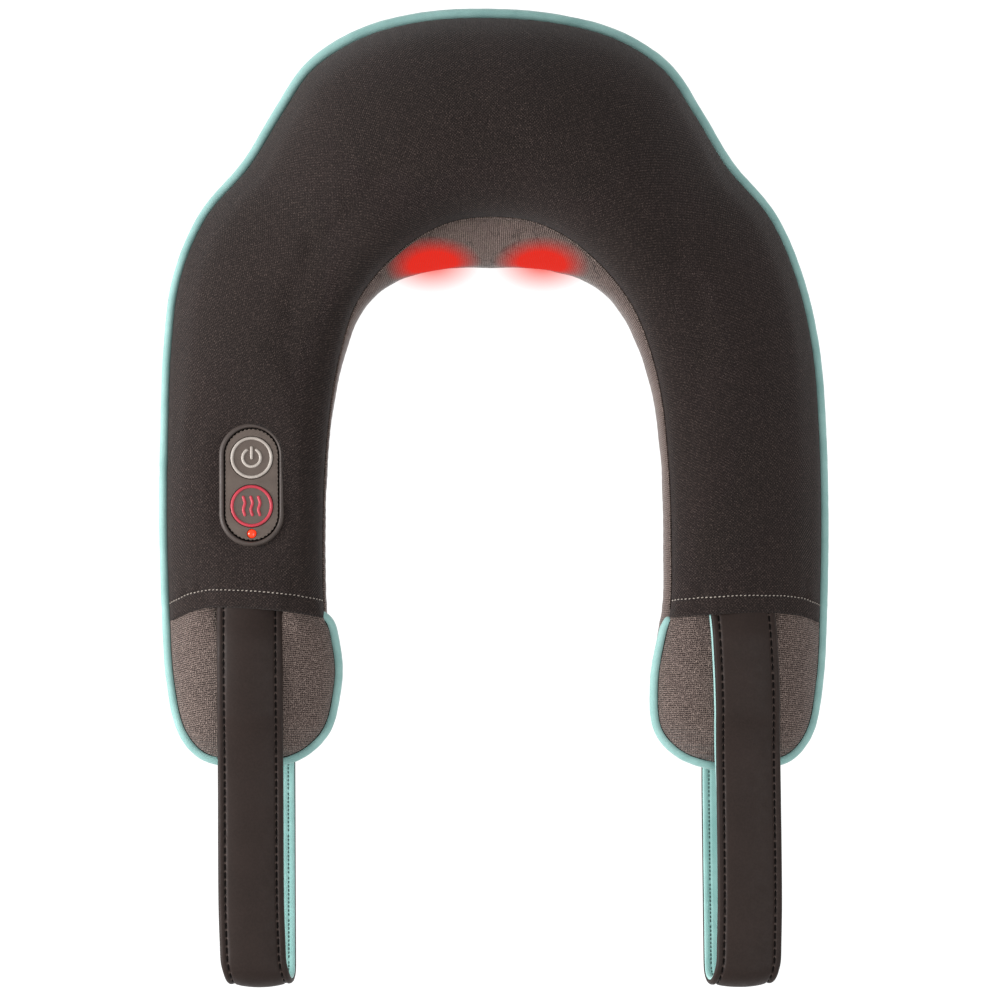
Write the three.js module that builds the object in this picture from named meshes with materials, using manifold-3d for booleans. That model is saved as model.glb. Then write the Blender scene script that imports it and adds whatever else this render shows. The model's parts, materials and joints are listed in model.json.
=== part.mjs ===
// A shiatsu neck massager: a stuffed horseshoe cushion with a worm-driven pair of massage heads
// behind the neck wall, a two-button control on the left arm and a hand strap on each arm.
// Millimetres. +Z up from the surface it lies on, +Y towards the neck end, +X to the right arm.
// The origin is the bottom centre of the whole object's box.

import * as THREE from 'three';
import Module from 'manifold-3d';
import { mergeVertices } from 'three/addons/utils/BufferGeometryUtils.js';

const wasm = await Module();
wasm.setup();

// ---------------------------------------------------------------- driving dimensions

const GAP = 0.3; // between pieces that touch
const COVER = 1.5; // thickness of the covers
const FOAM_GAP = 0.9; // between a cover and the foam inside it
const PIPING_R = 2.5;
const SEAM_GAP = 1.3; // height between the edges of the two covers

// The right half of the cushion, in stations from the middle of the neck to the arm's end.
// outer and seam are the cover's two edges; crown is the highest point between them; bulge is how
// far the inner wall swells past the seam; foot is how far in the flat underside starts; base is
// the underside's height.
const STATIONS = [
  { outer: [0, 240.2, 36], seam: [0, 136.5, 59], crown: 82, bulge: 24, foot: 30, base: 0 },
  { outer: [34, 239, 35.5], seam: [19.5, 134.4, 58.5], crown: 81.5, bulge: 22, foot: 30, base: 0 },
  { outer: [64, 230.5, 34], seam: [36.5, 127, 57], crown: 79, bulge: 17, foot: 29, base: 0 },
  { outer: [88, 215, 31], seam: [50, 116.8, 54], crown: 75, bulge: 11, foot: 27, base: 0 },
  { outer: [103.5, 192.5, 28], seam: [61, 105.5, 50], crown: 69, bulge: 7, foot: 24, base: 0 },
  { outer: [119.5, 166.5, 25], seam: [70, 92, 46], crown: 62, bulge: 5, foot: 20, base: 0 },
  { outer: [140.8, 141.5, 22], seam: [77, 73, 42], crown: 56, bulge: 3.5, foot: 16, base: 0 },
  { outer: [154, 111, 20], seam: [82, 51, 39], crown: 52, bulge: 2.5, foot: 14, base: 0 },
  { outer: [160.4, 75, 18.5], seam: [85, 26, 36.5], crown: 49.5, bulge: 2, foot: 13, base: 0 },
  { outer: [162.6, 35, 17.5], seam: [86.5, 2, 34.5], crown: 47.5, bulge: 2, foot: 12, base: 0 },
  { outer: [163.2, -10, 17], seam: [87, -25, 33], crown: 46, bulge: 2, foot: 12, base: 0 },
  { outer: [162, -56, 16], seam: [86.5, -56, 29], crown: 41, bulge: 2, foot: 12, base: 0 },
  { outer: [159.8, -90, 14.5], seam: [83.5, -90, 20], crown: 37, bulge: 1, foot: 12, base: 0 },
  { outer: [154.5, -114, 14], seam: [87.5, -112.5, 15], crown: 30, bulge: 1, foot: 10, base: 0 },
  { outer: [146, -124.5, 14], seam: [97, -123, 14], crown: 23, bulge: 0.5, foot: 8, base: 2 },
  { outer: [134, -128, 14], seam: [108, -127.7, 14], crown: 18.5, bulge: 0, foot: 5, base: 7 },
  { outer: [125, -129, 14], seam: [117, -129, 14], crown: 16, bulge: 0, foot: 2, base: 11.5 },
];
const LAST = STATIONS.length - 1;
const HEM = 11.15; // station of the dark cover's hem
const COVER_END = 15.5; // station where the inner cover closes at the arm's end
const POCKET_END = 15.2;
const FOAM_END = 15.2;
const FOAM_SPLIT = 7; // station where the neck foam meets each arm foam
const CROWN_POWER = 2.4; // flatness of the crown
const CROWN_EDGE = 0.55; // how round its edges are
const FINE_TO = 8; // rings stand twice as close up to this station

// The massage mechanism, in its own frame: x across, y along the worm, z away from the neck.
const MECH_AT = [0, 163, 44];
const MECH_TILT = -35;
const MODULE = 1;
const WHEEL_TEETH = 46;
const WORM_PITCH_R = 5;
const WHEEL_PITCH_R = (MODULE * WHEEL_TEETH) / 2;
const HEAD_X = WHEEL_PITCH_R + WORM_PITCH_R; // each head's axis from the middle
const WHEEL_Z = [3, 9];
const WORM_Z = (WHEEL_Z[0] + WHEEL_Z[1]) / 2;
const WORM_LEAD = Math.PI * MODULE;
const WORM_HALF = 10;
const SHAFT_R = 4;
const SHAFT_BORE_R = 2;
const BUSH_R = 6.5;
const SHELL_R = 27.3;
const SHELL_WALL = 1.8;
const SHELL_TOP = 15.3;
const PLATE = 3; // front cover thickness
const MOTOR_R = 12.2;
const MOTOR_Y = [30, 60.8];
const CARRIER_Z = [-9.6, -5];
const CARRIER_R = 24;
const NODE_AT = 16; // each massage node's distance from its head's axis
const NODE_R = 10.5;
const NODE_TIP_Z = -27;
const LAMP_R = 4.5;
const SCREW_R = 1.5;
const LUG_R = 4.5;

// The control on the left arm, centred between its two buttons.
const CONTROL_AT = [-121, 6.4, 46.9];
const CONTROL_SIZE = [32, 61];
const RIM = 3.4;
const BUTTON_R = 10.4;
const BUTTON_Y = [14.1, -10.1]; // power, then heat
const LAMP_Y = -24.4;

// The hand straps.
const STRAP_X = 124; // middle of the outer run
const STRAP_W = 32.5;
const STRAP_SHIFT = 7.2; // how far inward the inner run lies
const BAND = 2.2;
const LINING = 1;
const HINGE = [-137, 23.8]; // y and z of the line where the loop folds, on the band's outer face

// ---------------------------------------------------------------- materials

const matte = (color, roughness = 0.9) => new THREE.MeshStandardMaterial({ color, roughness });
const metal = (color, roughness) => {
  return new THREE.MeshStandardMaterial({ color, roughness, metalness: 1 });
};
const MAT = {
  knit: matte(0x362d2b),
  mesh: matte(0x776965),
  piping: matte(0x8cc0ba, 0.8),
  foam: matte(0xe6dfc8),
  strap: matte(0x3e3533, 0.55),
  lining: matte(0x9bd0ca, 0.7),
  rubber: matte(0x4a403c, 0.6),
  face: matte(0x6a605b, 0.55),
  lens: new THREE.MeshStandardMaterial({ color: 0xff3a1c, roughness: 0.2, emissive: 0xff2000 }),
  housing: matte(0x2a2a2c, 0.6),
  nylon: matte(0xe9e6dc, 0.5),
  clear: matte(0xc42a22, 0.25),
  board: matte(0x1f6b3a, 0.45),
  wire: matte(0x1c1c1c, 0.6),
  steel: metal(0xb8bcc0, 0.3),
  can: metal(0x9a9da0, 0.4),
  brass: metal(0xc9a052, 0.35),
};

// ---------------------------------------------------------------- helpers

const massager = new THREE.Group();

function signedVolume(geometry) {
  const p = geometry.attributes.position;
  const index = geometry.index.array;
  const corner = [new THREE.Vector3(), new THREE.Vector3(), new THREE.Vector3()];
  let sum = 0;
  for (let i = 0; i < index.length; i += 3) {
    corner.forEach((v, k) => v.fromBufferAttribute(p, index[i + k]));
    sum += corner[0].dot(corner[1].cross(corner[2]));
  }
  return sum / 6;
}

// One closed body with merged corners and its faces pointing out.
function closed(source) {
  const bare = source.clone();
  bare.deleteAttribute('normal');
  bare.deleteAttribute('uv');
  const geometry = mergeVertices(bare, 1e-4);
  const index = Array.from(geometry.index.array);
  const kept = [];
  for (let i = 0; i < index.length; i += 3) {
    const [a, b, c] = index.slice(i, i + 3);
    if (a !== b && b !== c && c !== a) kept.push(a, b, c);
  }
  geometry.setIndex(kept);
  if (signedVolume(geometry) < 0) geometry.index.array.reverse();
  return geometry;
}

function solid(source) {
  const geometry = closed(source);
  const vertProperties = new Float32Array(geometry.attributes.position.array);
  const triVerts = new Uint32Array(geometry.index.array);
  return new wasm.Manifold(new wasm.Mesh({ numProp: 3, vertProperties, triVerts }));
}

function fromSolid(manifold) {
  const mesh = manifold.getMesh();
  const geometry = new THREE.BufferGeometry();
  const position = new THREE.BufferAttribute(new Float32Array(mesh.vertProperties), 3);
  geometry.setAttribute('position', position);
  geometry.setIndex(new THREE.BufferAttribute(new Uint32Array(mesh.triVerts), 1));
  return geometry;
}

function cut(body, ...tools) {
  let result = solid(body);
  for (const tool of tools) result = result.subtract(solid(tool));
  return fromSolid(result);
}

function join(...bodies) {
  return fromSolid(bodies.map(solid).reduce((sum, body) => sum.add(body)));
}

function add(name, geometry, material, parent = massager) {
  const body = closed(geometry);
  body.computeVertexNormals();
  const mesh = new THREE.Mesh(body, material);
  mesh.name = name;
  parent.add(mesh);
  return mesh;
}

// A turned body about local Z from [radius, z] points; it closes on itself or on the axis.
function turned(points, sides = 16) {
  const profile = points.map(([r, z]) => new THREE.Vector2(r, z));
  if (points[0][0] > 0) profile.push(profile[0].clone());
  return new THREE.LatheGeometry(profile, sides).rotateX(Math.PI / 2);
}

const ringBody = (rIn, rOut, z0, z1, sides) => {
  return turned([[rIn, z0], [rOut, z0], [rOut, z1], [rIn, z1]], sides);
};
const rod = (r, z0, z1, sides = 14) => turned([[0, z0], [r, z0], [r, z1], [0, z1]], sides);

function stadium(width, length, corner = width / 2) {
  const shape = new THREE.Shape();
  const x = width / 2 - corner;
  const y = length / 2 - corner;
  shape.absarc(x, y, corner, 0, Math.PI / 2);
  shape.absarc(-x, y, corner, Math.PI / 2, Math.PI);
  shape.absarc(-x, -y, corner, Math.PI, 1.5 * Math.PI);
  shape.absarc(x, -y, corner, 1.5 * Math.PI, 2 * Math.PI);
  return shape;
}

function plate(shape, z0, z1, segments = 6) {
  const settings = { depth: z1 - z0, bevelEnabled: false, curveSegments: segments };
  return new THREE.ExtrudeGeometry(shape, settings).translate(0, 0, z0);
}

function box(x, y, z) {
  const geometry = new THREE.BoxGeometry(x[1] - x[0], y[1] - y[0], z[1] - z[0]);
  return geometry.translate((x[0] + x[1]) / 2, (y[0] + y[1]) / 2, (z[0] + z[1]) / 2);
}

function circle(r) {
  const shape = new THREE.Shape();
  shape.absarc(0, 0, r, 0, 2 * Math.PI);
  return shape;
}

// A round bar along a smooth curve through the points.
function bar(points, r, steps, segments = 6) {
  const extrudePath = new THREE.CatmullRomCurve3(points.map((p) => new THREE.Vector3(...p)));
  const shape = circle(r);
  const curveSegments = segments / 2;
  return new THREE.ExtrudeGeometry(shape, { extrudePath, steps, curveSegments });
}

// An end cap over a ring, in the ring's own order or against it.
function capFaces(flat, inOrder) {
  const ringTurn = Math.sign(THREE.ShapeUtils.area(flat));
  return THREE.ShapeUtils.triangulateShape(flat, []).map(([a, b, c]) => {
    const turn = Math.sign(THREE.ShapeUtils.area([flat[a], flat[b], flat[c]]));
    return (turn === ringTurn) === inOrder ? [a, b, c] : [c, b, a];
  });
}

// Closes a row of equal rings into a body. The two flats are the end rings in their own plane.
function loft(rings, flatFirst, flatLast) {
  const count = rings[0].length;
  const index = capFaces(flatFirst, false).flat();
  for (let i = 0; i + 1 < rings.length; i += 1) {
    for (let k = 0; k < count; k += 1) {
      const a = i * count + k;
      const b = i * count + ((k + 1) % count);
      index.push(a, b, a + count, b, b + count, a + count);
    }
  }
  const end = (rings.length - 1) * count;
  index.push(...capFaces(flatLast, true).flat().map((v) => v + end));
  const geometry = new THREE.BufferGeometry();
  const position = new THREE.Float32BufferAttribute(rings.flat().flatMap((p) => p.toArray()), 3);
  geometry.setAttribute('position', position);
  geometry.setIndex(index);
  return closed(geometry);
}

// ---------------------------------------------------------------- the cushion's surface

const mirrored = (field) => {
  const right = STATIONS.map((s) => new THREE.Vector3(...s[field]));
  const left = right.slice(1).map((p) => new THREE.Vector3(-p.x, p.y, p.z));
  return new THREE.CatmullRomCurve3([...left.reverse(), ...right]);
};
const outerCurve = mirrored('outer');
const seamCurve = mirrored('seam');
const heights = STATIONS.map((s) => new THREE.Vector3(s.crown, s.bulge, s.foot));
const heightCurve = new THREE.CatmullRomCurve3([...heights.slice(1).reverse(), ...heights]);
const bases = STATIONS.map((s, i) => new THREE.Vector3(i, s.base, 0));

function baseAt(row) {
  const i = Math.min(Math.floor(row), LAST - 1);
  return THREE.MathUtils.lerp(bases[i].y, bases[i + 1].y, row - i);
}

// The cross-section at a station: row runs from -LAST at the left arm's end to LAST at the right.
function section(row) {
  const t = (row + LAST) / (2 * LAST);
  const outer = outerCurve.getPoint(t);
  const seam = seamCurve.getPoint(t);
  const shape = heightCurve.getPoint(t);
  const along = new THREE.Vector2(outer.x - seam.x, outer.y - seam.y);
  const width = along.length();
  along.normalize();
  const foot = Math.min(shape.z, width * 0.35);
  const rise = shape.x - (seam.z + outer.z) / 2;
  return { outer, seam, along, width, foot, rise, bulge: shape.y, base: baseAt(Math.abs(row)) };
}

// d is the distance from the seam towards the outer edge, z the height.
const place = (s, p) => {
  return new THREE.Vector3(s.seam.x + s.along.x * p.x, s.seam.y + s.along.y * p.x, p.y);
};

function topPoint(s, share) {
  const crown = (1 - Math.abs(2 * share - 1) ** CROWN_POWER) ** CROWN_EDGE;
  const z = THREE.MathUtils.lerp(s.seam.z, s.outer.z, share) + s.rise * crown;
  return new THREE.Vector2(share * s.width, z);
}

const TOP_STEPS = 7;
function topLine(s) {
  const line = [];
  for (let k = 0; k <= TOP_STEPS; k += 1) {
    line.push(topPoint(s, (1 - Math.cos((Math.PI * k) / TOP_STEPS)) / 2));
  }
  return line;
}

// From just under the seam down the wall, along the flat underside and up to the outer edge.
function underLine(s) {
  const tall = s.seam.z - s.base;
  const wall = new THREE.CubicBezierCurve(
    new THREE.Vector2(0, s.seam.z - SEAM_GAP),
    new THREE.Vector2(-2.1 * s.bulge, s.base + 0.85 * tall),
    new THREE.Vector2(-0.33 * s.bulge, s.base + 0.24 * tall),
    new THREE.Vector2(s.foot, s.base),
  );
  const side = new THREE.QuadraticBezierCurve(
    new THREE.Vector2(s.width - s.foot, s.base),
    new THREE.Vector2(s.width - 0.1 * s.foot, s.base + 0.1 * (s.outer.z - s.base)),
    new THREE.Vector2(s.width, s.outer.z - SEAM_GAP),
  );
  return [...wall.getPoints(5), ...side.getPoints(3)];
}

// The line moved to its left by a distance, corner by corner.
function offsetLine(line, distance, loop = false) {
  const count = line.length;
  return line.map((p, k) => {
    const before = line[loop ? (k + count - 1) % count : Math.max(k - 1, 0)];
    const after = line[loop ? (k + 1) % count : Math.min(k + 1, count - 1)];
    const into = new THREE.Vector2().subVectors(p, before).normalize();
    const out = new THREE.Vector2().subVectors(after, p).normalize();
    const along = into.add(out).normalize();
    return new THREE.Vector2(p.x - along.y * distance, p.y + along.x * distance);
  });
}

// Where the rings go: every station, and halfway between them round the neck.
function rows(from, to) {
  const inside = [];
  for (let row = -LAST; row <= LAST; row += 0.5) {
    const wanted = Number.isInteger(row) || Math.abs(row) < FINE_TO;
    if (wanted && row > from + 0.1 && row < to - 0.1) inside.push(row);
  }
  return [from, ...inside, to];
}

function cushionLoft(from, to, ringOf) {
  const sections = rows(from, to).map(section);
  const flats = sections.map(ringOf);
  const rings = flats.map((flat, i) => flat.map((p) => place(sections[i], p)));
  return loft(rings, flats[0], flats[flats.length - 1]);
}

const topSkin = (s) => {
  const line = topLine(s);
  return [...line, ...offsetLine(line, -COVER).reverse()];
};
const underSkin = (s) => {
  const line = underLine(s);
  return [...line, ...offsetLine(line, COVER).reverse()];
};
const filling = (s) => {
  const line = [...topLine(s).slice(0, -1).reverse(), ...underLine(s).slice(0, -1)];
  return offsetLine(line, COVER + FOAM_GAP, true);
};

// ---------------------------------------------------------------- cushion

function mechanism(geometry) {
  return geometry.rotateX(THREE.MathUtils.degToRad(MECH_TILT)).translate(...MECH_AT);
}

const atControl = (geometry) => geometry.translate(...CONTROL_AT);

const LEAD_R = 1.6;
const MOTOR_LEAD = [
  [-121, 24, 34],
  [-121.5, 28, 27],
  [-124, 60, 25],
  [-112, 105, 26],
  [-92, 145, 26],
  [-64, 180, 27],
  [-34, 206, 25],
  [-17, 213, 21],
];
const JACK_AT = [-148, -62, 10];
const JACK_R = 3.8;
const JACK_LEAD = [
  [-136.2, -62, 10],
  [-129, -60, 12],
  [-121, -22, 24],
  [-121, -11.2, 34],
];

const jackTurn = (geometry) => geometry.rotateY(-Math.PI / 2).translate(...JACK_AT);

function addCushion() {
  const [w, l] = CONTROL_SIZE;
  const opening = atControl(plate(stadium(w + 2 * GAP, l + 2 * GAP), -9, 9));
  add('outer_cover', cut(cushionLoft(-HEM, HEM, topSkin), opening), MAT.knit);

  const jackHole = jackTurn(join(rod(JACK_R + 1.4, -16, 30), rod(JACK_R + 2.6, 8, 30)));
  add('inner_cover', cut(cushionLoft(-COVER_END, COVER_END, underSkin), jackHole), MAT.mesh);
  add('end_pocket_left', cushionLoft(-POCKET_END, -HEM - 0.03, topSkin), MAT.mesh);
  add('end_pocket_right', cushionLoft(HEM + 0.03, POCKET_END, topSkin), MAT.mesh);

  const motorChannel = bar(MOTOR_LEAD, LEAD_R + 2 * GAP, 22);
  const jackChannel = bar(JACK_LEAD, LEAD_R + 2 * GAP, 10);
  const neck = cushionLoft(-FOAM_SPLIT, FOAM_SPLIT, filling);
  const pocket = mechanism(mechanismPocket());
  add('neck_foam', cut(neck, pocket, motorChannel), MAT.foam);

  const tray = atControl(plate(stadium(w + 1, l + 1), -16, 9));
  const jackSpace = jackTurn(rod(JACK_R + 3, -13, 30));
  const left = cushionLoft(-FOAM_END, -FOAM_SPLIT - 0.04, filling);
  add('arm_foam_left', cut(left, tray, motorChannel, jackChannel, jackSpace), MAT.foam);
  add('arm_foam_right', cushionLoft(FOAM_SPLIT + 0.04, FOAM_END, filling), MAT.foam);
}

// The space that the foam leaves for the gearbox, the motor and the turning heads.
function mechanismPocket() {
  const clear = 1;
  const gearbox = plate(gearboxOutline(clear), -PLATE - clear, SHELL_TOP + clear);
  const motor = new THREE.CylinderGeometry(MOTOR_R + clear, MOTOR_R + clear, 40, 16);
  motor.translate(0, (MOTOR_Y[0] + MOTOR_Y[1]) / 2 + 1, WORM_Z);
  const heads = [-1, 1].map((side) => rod(29, -60, 0, 20).translate(side * HEAD_X, 0, 0));
  const lugs = screwSpots.map(([x, y]) => rod(LUG_R + clear, -7, 7, 10).translate(x, y, 0));
  return join(gearbox, motor, ...heads, ...lugs);
}

// ---------------------------------------------------------------- piping

// The path of the piping: along the cover's edges, a little outside them.
function edgePath() {
  const points = [];
  const inner = rows(HEM + 0.1, LAST).map((row) => section(row).seam);
  points.push(...inner.map((p) => new THREE.Vector3(-p.x, p.y, p.z)));
  points.push(...rows(-LAST, LAST).map((row) => section(row).outer));
  points.push(...inner.reverse());
  return points.map((p, k) => {
    const before = points[Math.max(k - 1, 0)];
    const after = points[Math.min(k + 1, points.length - 1)];
    const along = new THREE.Vector2(after.x - before.x, after.y - before.y).normalize();
    const out = PIPING_R + GAP;
    return [p.x - along.y * out, p.y + along.x * out, p.z];
  });
}

function addPiping() {
  const path = edgePath();
  add('edge_piping', bar(path, PIPING_R, 116), MAT.piping);
}

// ---------------------------------------------------------------- hand straps

// A ribbon between two heights above a path of [y, z, shift] points, across local X.
function ribbon(path, low, high, width) {
  const flat = path.map(([y, z]) => new THREE.Vector2(y, z));
  const under = offsetLine(flat, low);
  const over = offsetLine(flat, high);
  const rings = path.map(([, , shift], i) => {
    const ring = [];
    for (const [edge, line] of [[-1, under], [1, under], [1, over], [-1, over]]) {
      ring.push(new THREE.Vector3(shift + (edge * width) / 2, line[i].x, line[i].y));
    }
    return ring;
  });
  const end = [[0, 0], [1, 0], [1, 1], [0, 1]].map(([x, y]) => new THREE.Vector2(x, y));
  return loft(rings, end, end);
}

const FOLD_PATH_Z = HINGE[1] - BAND - 0.1; // the band's inner face at the fold line
const ROOT_START = -63;
function strapRoot() {
  const path = [];
  for (let y = ROOT_START; y >= -127; y -= 8) path.push([y, crownHeight(y) + 3 * GAP + LINING, 0]);
  path.push([HINGE[0] + 0.6, FOLD_PATH_Z, 0]);
  return path;
}

// The arm's highest point at a distance along it, near the end pocket.
function crownHeight(y) {
  let row = HEM - 1;
  while (section(row).outer.y > y) row += 0.05;
  return Math.max(...topLine(section(row)).map((p) => p.y));
}

function strapLoop() {
  const path = [[HINGE[0] - 0.2, FOLD_PATH_Z, 0], [-150, 22.6, 0], [-175, 23.6, 0], [-205, 23, 0]];
  const fold = { y: -232.75, z: 12.9, r: 9.6 };
  for (let k = 0; k <= 8; k += 1) {
    const turn = Math.PI * (0.5 + k / 8);
    const y = fold.y + fold.r * Math.cos(turn);
    const z = fold.z + fold.r * Math.sin(turn);
    path.push([y, z, STRAP_SHIFT * THREE.MathUtils.smoothstep(k, 0, 6)]);
  }
  path.push([-205, 3.3, STRAP_SHIFT], [-170, 3.3, STRAP_SHIFT], [-145, 4, STRAP_SHIFT]);
  path.push([-133.5, 5.6, STRAP_SHIFT]);
  return path;
}

function addStraps() {
  for (const [side, sign] of [['left', -1], ['right', 1]]) {
    const pieces = [
      [`strap_root_${side}`, strapRoot(), 0, BAND, STRAP_W, MAT.strap],
      [`strap_root_lining_${side}`, strapRoot(), -LINING, -GAP / 2, STRAP_W - 1, MAT.lining],
      [`strap_loop_${side}`, strapLoop(), 0, BAND, STRAP_W, MAT.strap],
      [`strap_loop_lining_${side}`, strapLoop(), -LINING, -GAP / 2, STRAP_W - 1, MAT.lining],
    ];
    for (const [name, path, low, high, width, material] of pieces) {
      const placed = path.map(([y, z, shift]) => [y, z, sign * (STRAP_X - shift)]);
      // The path runs towards -Y, so its left is underneath.
      add(name, ribbon(placed, -high, -low, width), material);
    }
  }
}

// ---------------------------------------------------------------- control

function addControl() {
  const group = new THREE.Group();
  group.position.set(...CONTROL_AT);
  massager.add(group);
  const [w, l] = CONTROL_SIZE;
  const inner = [w - 2 * RIM, l - 2 * RIM];

  const rim = stadium(w, l);
  rim.holes.push(stadium(...inner));
  add('control_bezel', plate(rim, -3, 2.2), MAT.rubber, group);

  const face = stadium(inner[0] - 2 * GAP, inner[1] - 2 * GAP);
  const holes = BUTTON_Y.map((y) => rod(BUTTON_R + GAP, -4, 4, 24).translate(0, y, 0));
  const lensHole = rod(2.3, -4, 4).translate(0, LAMP_Y, 0);
  add('control_face', cut(plate(face, -1.5, 1.1), ...holes, lensHole), MAT.face, group);

  ['power', 'heat'].forEach((use, i) => {
    const cap = [[0, -2.6], [2, -2.6], [2, -1.6], [BUTTON_R, -1.6]];
    cap.push([BUTTON_R, 1.4], [BUTTON_R - 1.5, 1.8], [BUTTON_R - 3, 1.4], [0, 1.4]);
    add(`${use}_button`, turned(cap, 24).translate(0, BUTTON_Y[i], 0), MAT.face, group);
    const body = box([-3, 3], [-3, 3], [-8.1, -5]);
    const plunger = rod(1.7, -5.5, -3.7, 12);
    const name = `${use}_switch`;
    add(name, join(body, plunger).translate(0, BUTTON_Y[i], 0), MAT.housing, group);
  });

  const lens = [[0, -2.4], [2, -2.4], [2, 1.1], [1.4, 1.6], [0, 1.8]];
  add('indicator_lens', turned(lens, 16).translate(0, LAMP_Y, 0), MAT.lens, group);
  const light = [[0, -8.1], [1.5, -8.1], [1.5, -4.5], [0.9, -3.4], [0, -3.1]];
  add('status_light', turned(light, 12).translate(0, LAMP_Y, 0), MAT.lens, group);

  add('control_board', plate(stadium(w - 6, l - 7), -10, -8.4), MAT.board, group);
  const tray = plate(stadium(w - 1, l - 1), -15, -3.4);
  const hollow = plate(stadium(w - 5, l - 5), -13, 1);
  const leadHoles = [1, -1].map((end) => {
    return rod(LEAD_R + 3, -20, -11).translate(0, end * (CONTROL_AT[1] + 11.2), 0);
  });
  add('control_tray', cut(tray, hollow, ...leadHoles), MAT.housing, group);
}

function addPower() {
  const barrel = turned([[0, -9], [2, -9], [2, 10], [JACK_R, 10], [JACK_R, -11], [0, -11]]);
  add('power_jack', jackTurn(barrel), MAT.housing);
  const [inside, sleeve, lip] = [JACK_R + GAP, JACK_R + 1.1, JACK_R + 2.3];
  const grommet = turned([
    [inside, 2], [sleeve, 2], [sleeve, 8.6], [lip, 9.2], [lip, 10.4], [inside, 10.8],
  ]);
  add('jack_grommet', jackTurn(grommet), MAT.rubber);
  add('jack_lead', bar(JACK_LEAD, LEAD_R, 10), MAT.wire);
  add('motor_lead', bar(MOTOR_LEAD, LEAD_R, 22), MAT.wire);
}

// ---------------------------------------------------------------- mechanism

// Two round lobes for the wheels, a waist at the worm's end and a straight cradle for the motor.
function gearboxOutline(grow) {
  const r = SHELL_R + grow;
  const neck = 14 + grow;
  const corner = Math.acos((neck - HEAD_X) / r);
  const shape = new THREE.Shape();
  shape.moveTo(neck, MOTOR_Y[0] - 1 + grow);
  shape.absarc(HEAD_X, 0, r, corner, -corner, true);
  shape.absarc(-HEAD_X, 0, r, Math.PI + corner, Math.PI - corner, true);
  shape.lineTo(-neck, MOTOR_Y[0] - 1 + grow);
  return shape;
}

const LUG_OUT = 21; // how far out from its wheel's axis each screw lug stands, each way
const screwSpots = [[-1, 1], [1, 1], [-1, -1], [1, -1]].map(([x, y]) => {
  return [x * (HEAD_X + LUG_OUT), y * LUG_OUT];
});

function addGearbox(group) {
  const lugs = screwSpots.map(([x, y]) => ringBody(SCREW_R + GAP, LUG_R, GAP, 6, 12).translate(x, y, 0));
  const body = plate(gearboxOutline(0), GAP, SHELL_TOP);
  const well = [-1, 1].map((side) => {
    return rod(SHELL_R - SHELL_WALL, -1, SHELL_TOP - 2, 20).translate(side * HEAD_X, 0, 0);
  });
  const worm = box([-7.5, 7.5], [-17, 17], [-1, SHELL_TOP - 2]);
  const bore = new THREE.CylinderGeometry(2.2, 2.2, 30, 12).translate(0, 25, WORM_Z);
  const endSeat = new THREE.CylinderGeometry(4.3, 4.3, 6, 16).translate(0, -18.3, WORM_Z);
  const shell = cut(body, ...well, worm, bore, endSeat);
  let whole = solid(shell);
  for (const lug of lugs) whole = whole.add(solid(lug));
  for (const [x, y] of screwSpots) {
    whole = whole.subtract(solid(rod(SCREW_R + GAP, -2, 8).translate(x, y, 0)));
  }
  add('gearbox_rear_shell', fromSolid(whole), MAT.housing, group);

  let front = solid(plate(gearboxOutline(0), -PLATE, 0));
  for (const [x, y] of screwSpots) front = front.add(solid(rod(LUG_R, -PLATE, 0, 12).translate(x, y, 0)));
  for (const [x, y] of screwSpots) {
    front = front.subtract(solid(rod(SCREW_R + GAP, -PLATE - 1, 1).translate(x, y, 0)));
  }
  for (const side of [-1, 1]) {
    front = front.subtract(solid(rod(BUSH_R + GAP, -PLATE - 1, 1, 24).translate(side * HEAD_X, 0, 0)));
  }
  add('gearbox_front_cover', fromSolid(front), MAT.housing, group);

  screwSpots.forEach(([x, y], i) => {
    const screw = turned([[0, -5.2], [2.8, -5.2], [2.8, -3.3], [SCREW_R, -3.3], [SCREW_R, 5], [0, 5]], 12);
    add(`gearbox_screw_${i + 1}`, screw.translate(x, y, 0), MAT.steel, group);
  });
}

// A single-start thread as a height on a round bar along local Y.
function wormThread() {
  const core = 3.4;
  const tip = 5.7;
  const around = 12;
  const perLead = 6;
  const count = Math.round((2 * WORM_HALF / WORM_LEAD) * perLead);
  const rings = [];
  for (let i = 0; i <= count; i += 1) {
    const y = -WORM_HALF + (2 * WORM_HALF * i) / count;
    const fade = THREE.MathUtils.smoothstep(WORM_HALF - Math.abs(y), 0, 2.5);
    const ring = [];
    for (let k = 0; k < around; k += 1) {
      const angle = (2 * Math.PI * k) / around;
      const turn = y / WORM_LEAD - k / around;
      const off = Math.abs(turn - Math.round(turn)) * WORM_LEAD; // distance from the crest
      const height = 1 - THREE.MathUtils.clamp((off - 0.3) / 0.4, 0, 1);
      const r = core + (tip - core) * height * fade;
      ring.push(new THREE.Vector3(r * Math.cos(angle), y, r * Math.sin(angle)));
    }
    rings.push(ring);
  }
  const flat = rings[0].map((p) => new THREE.Vector2(p.x, p.z));
  return loft(rings, flat, flat);
}

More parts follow.
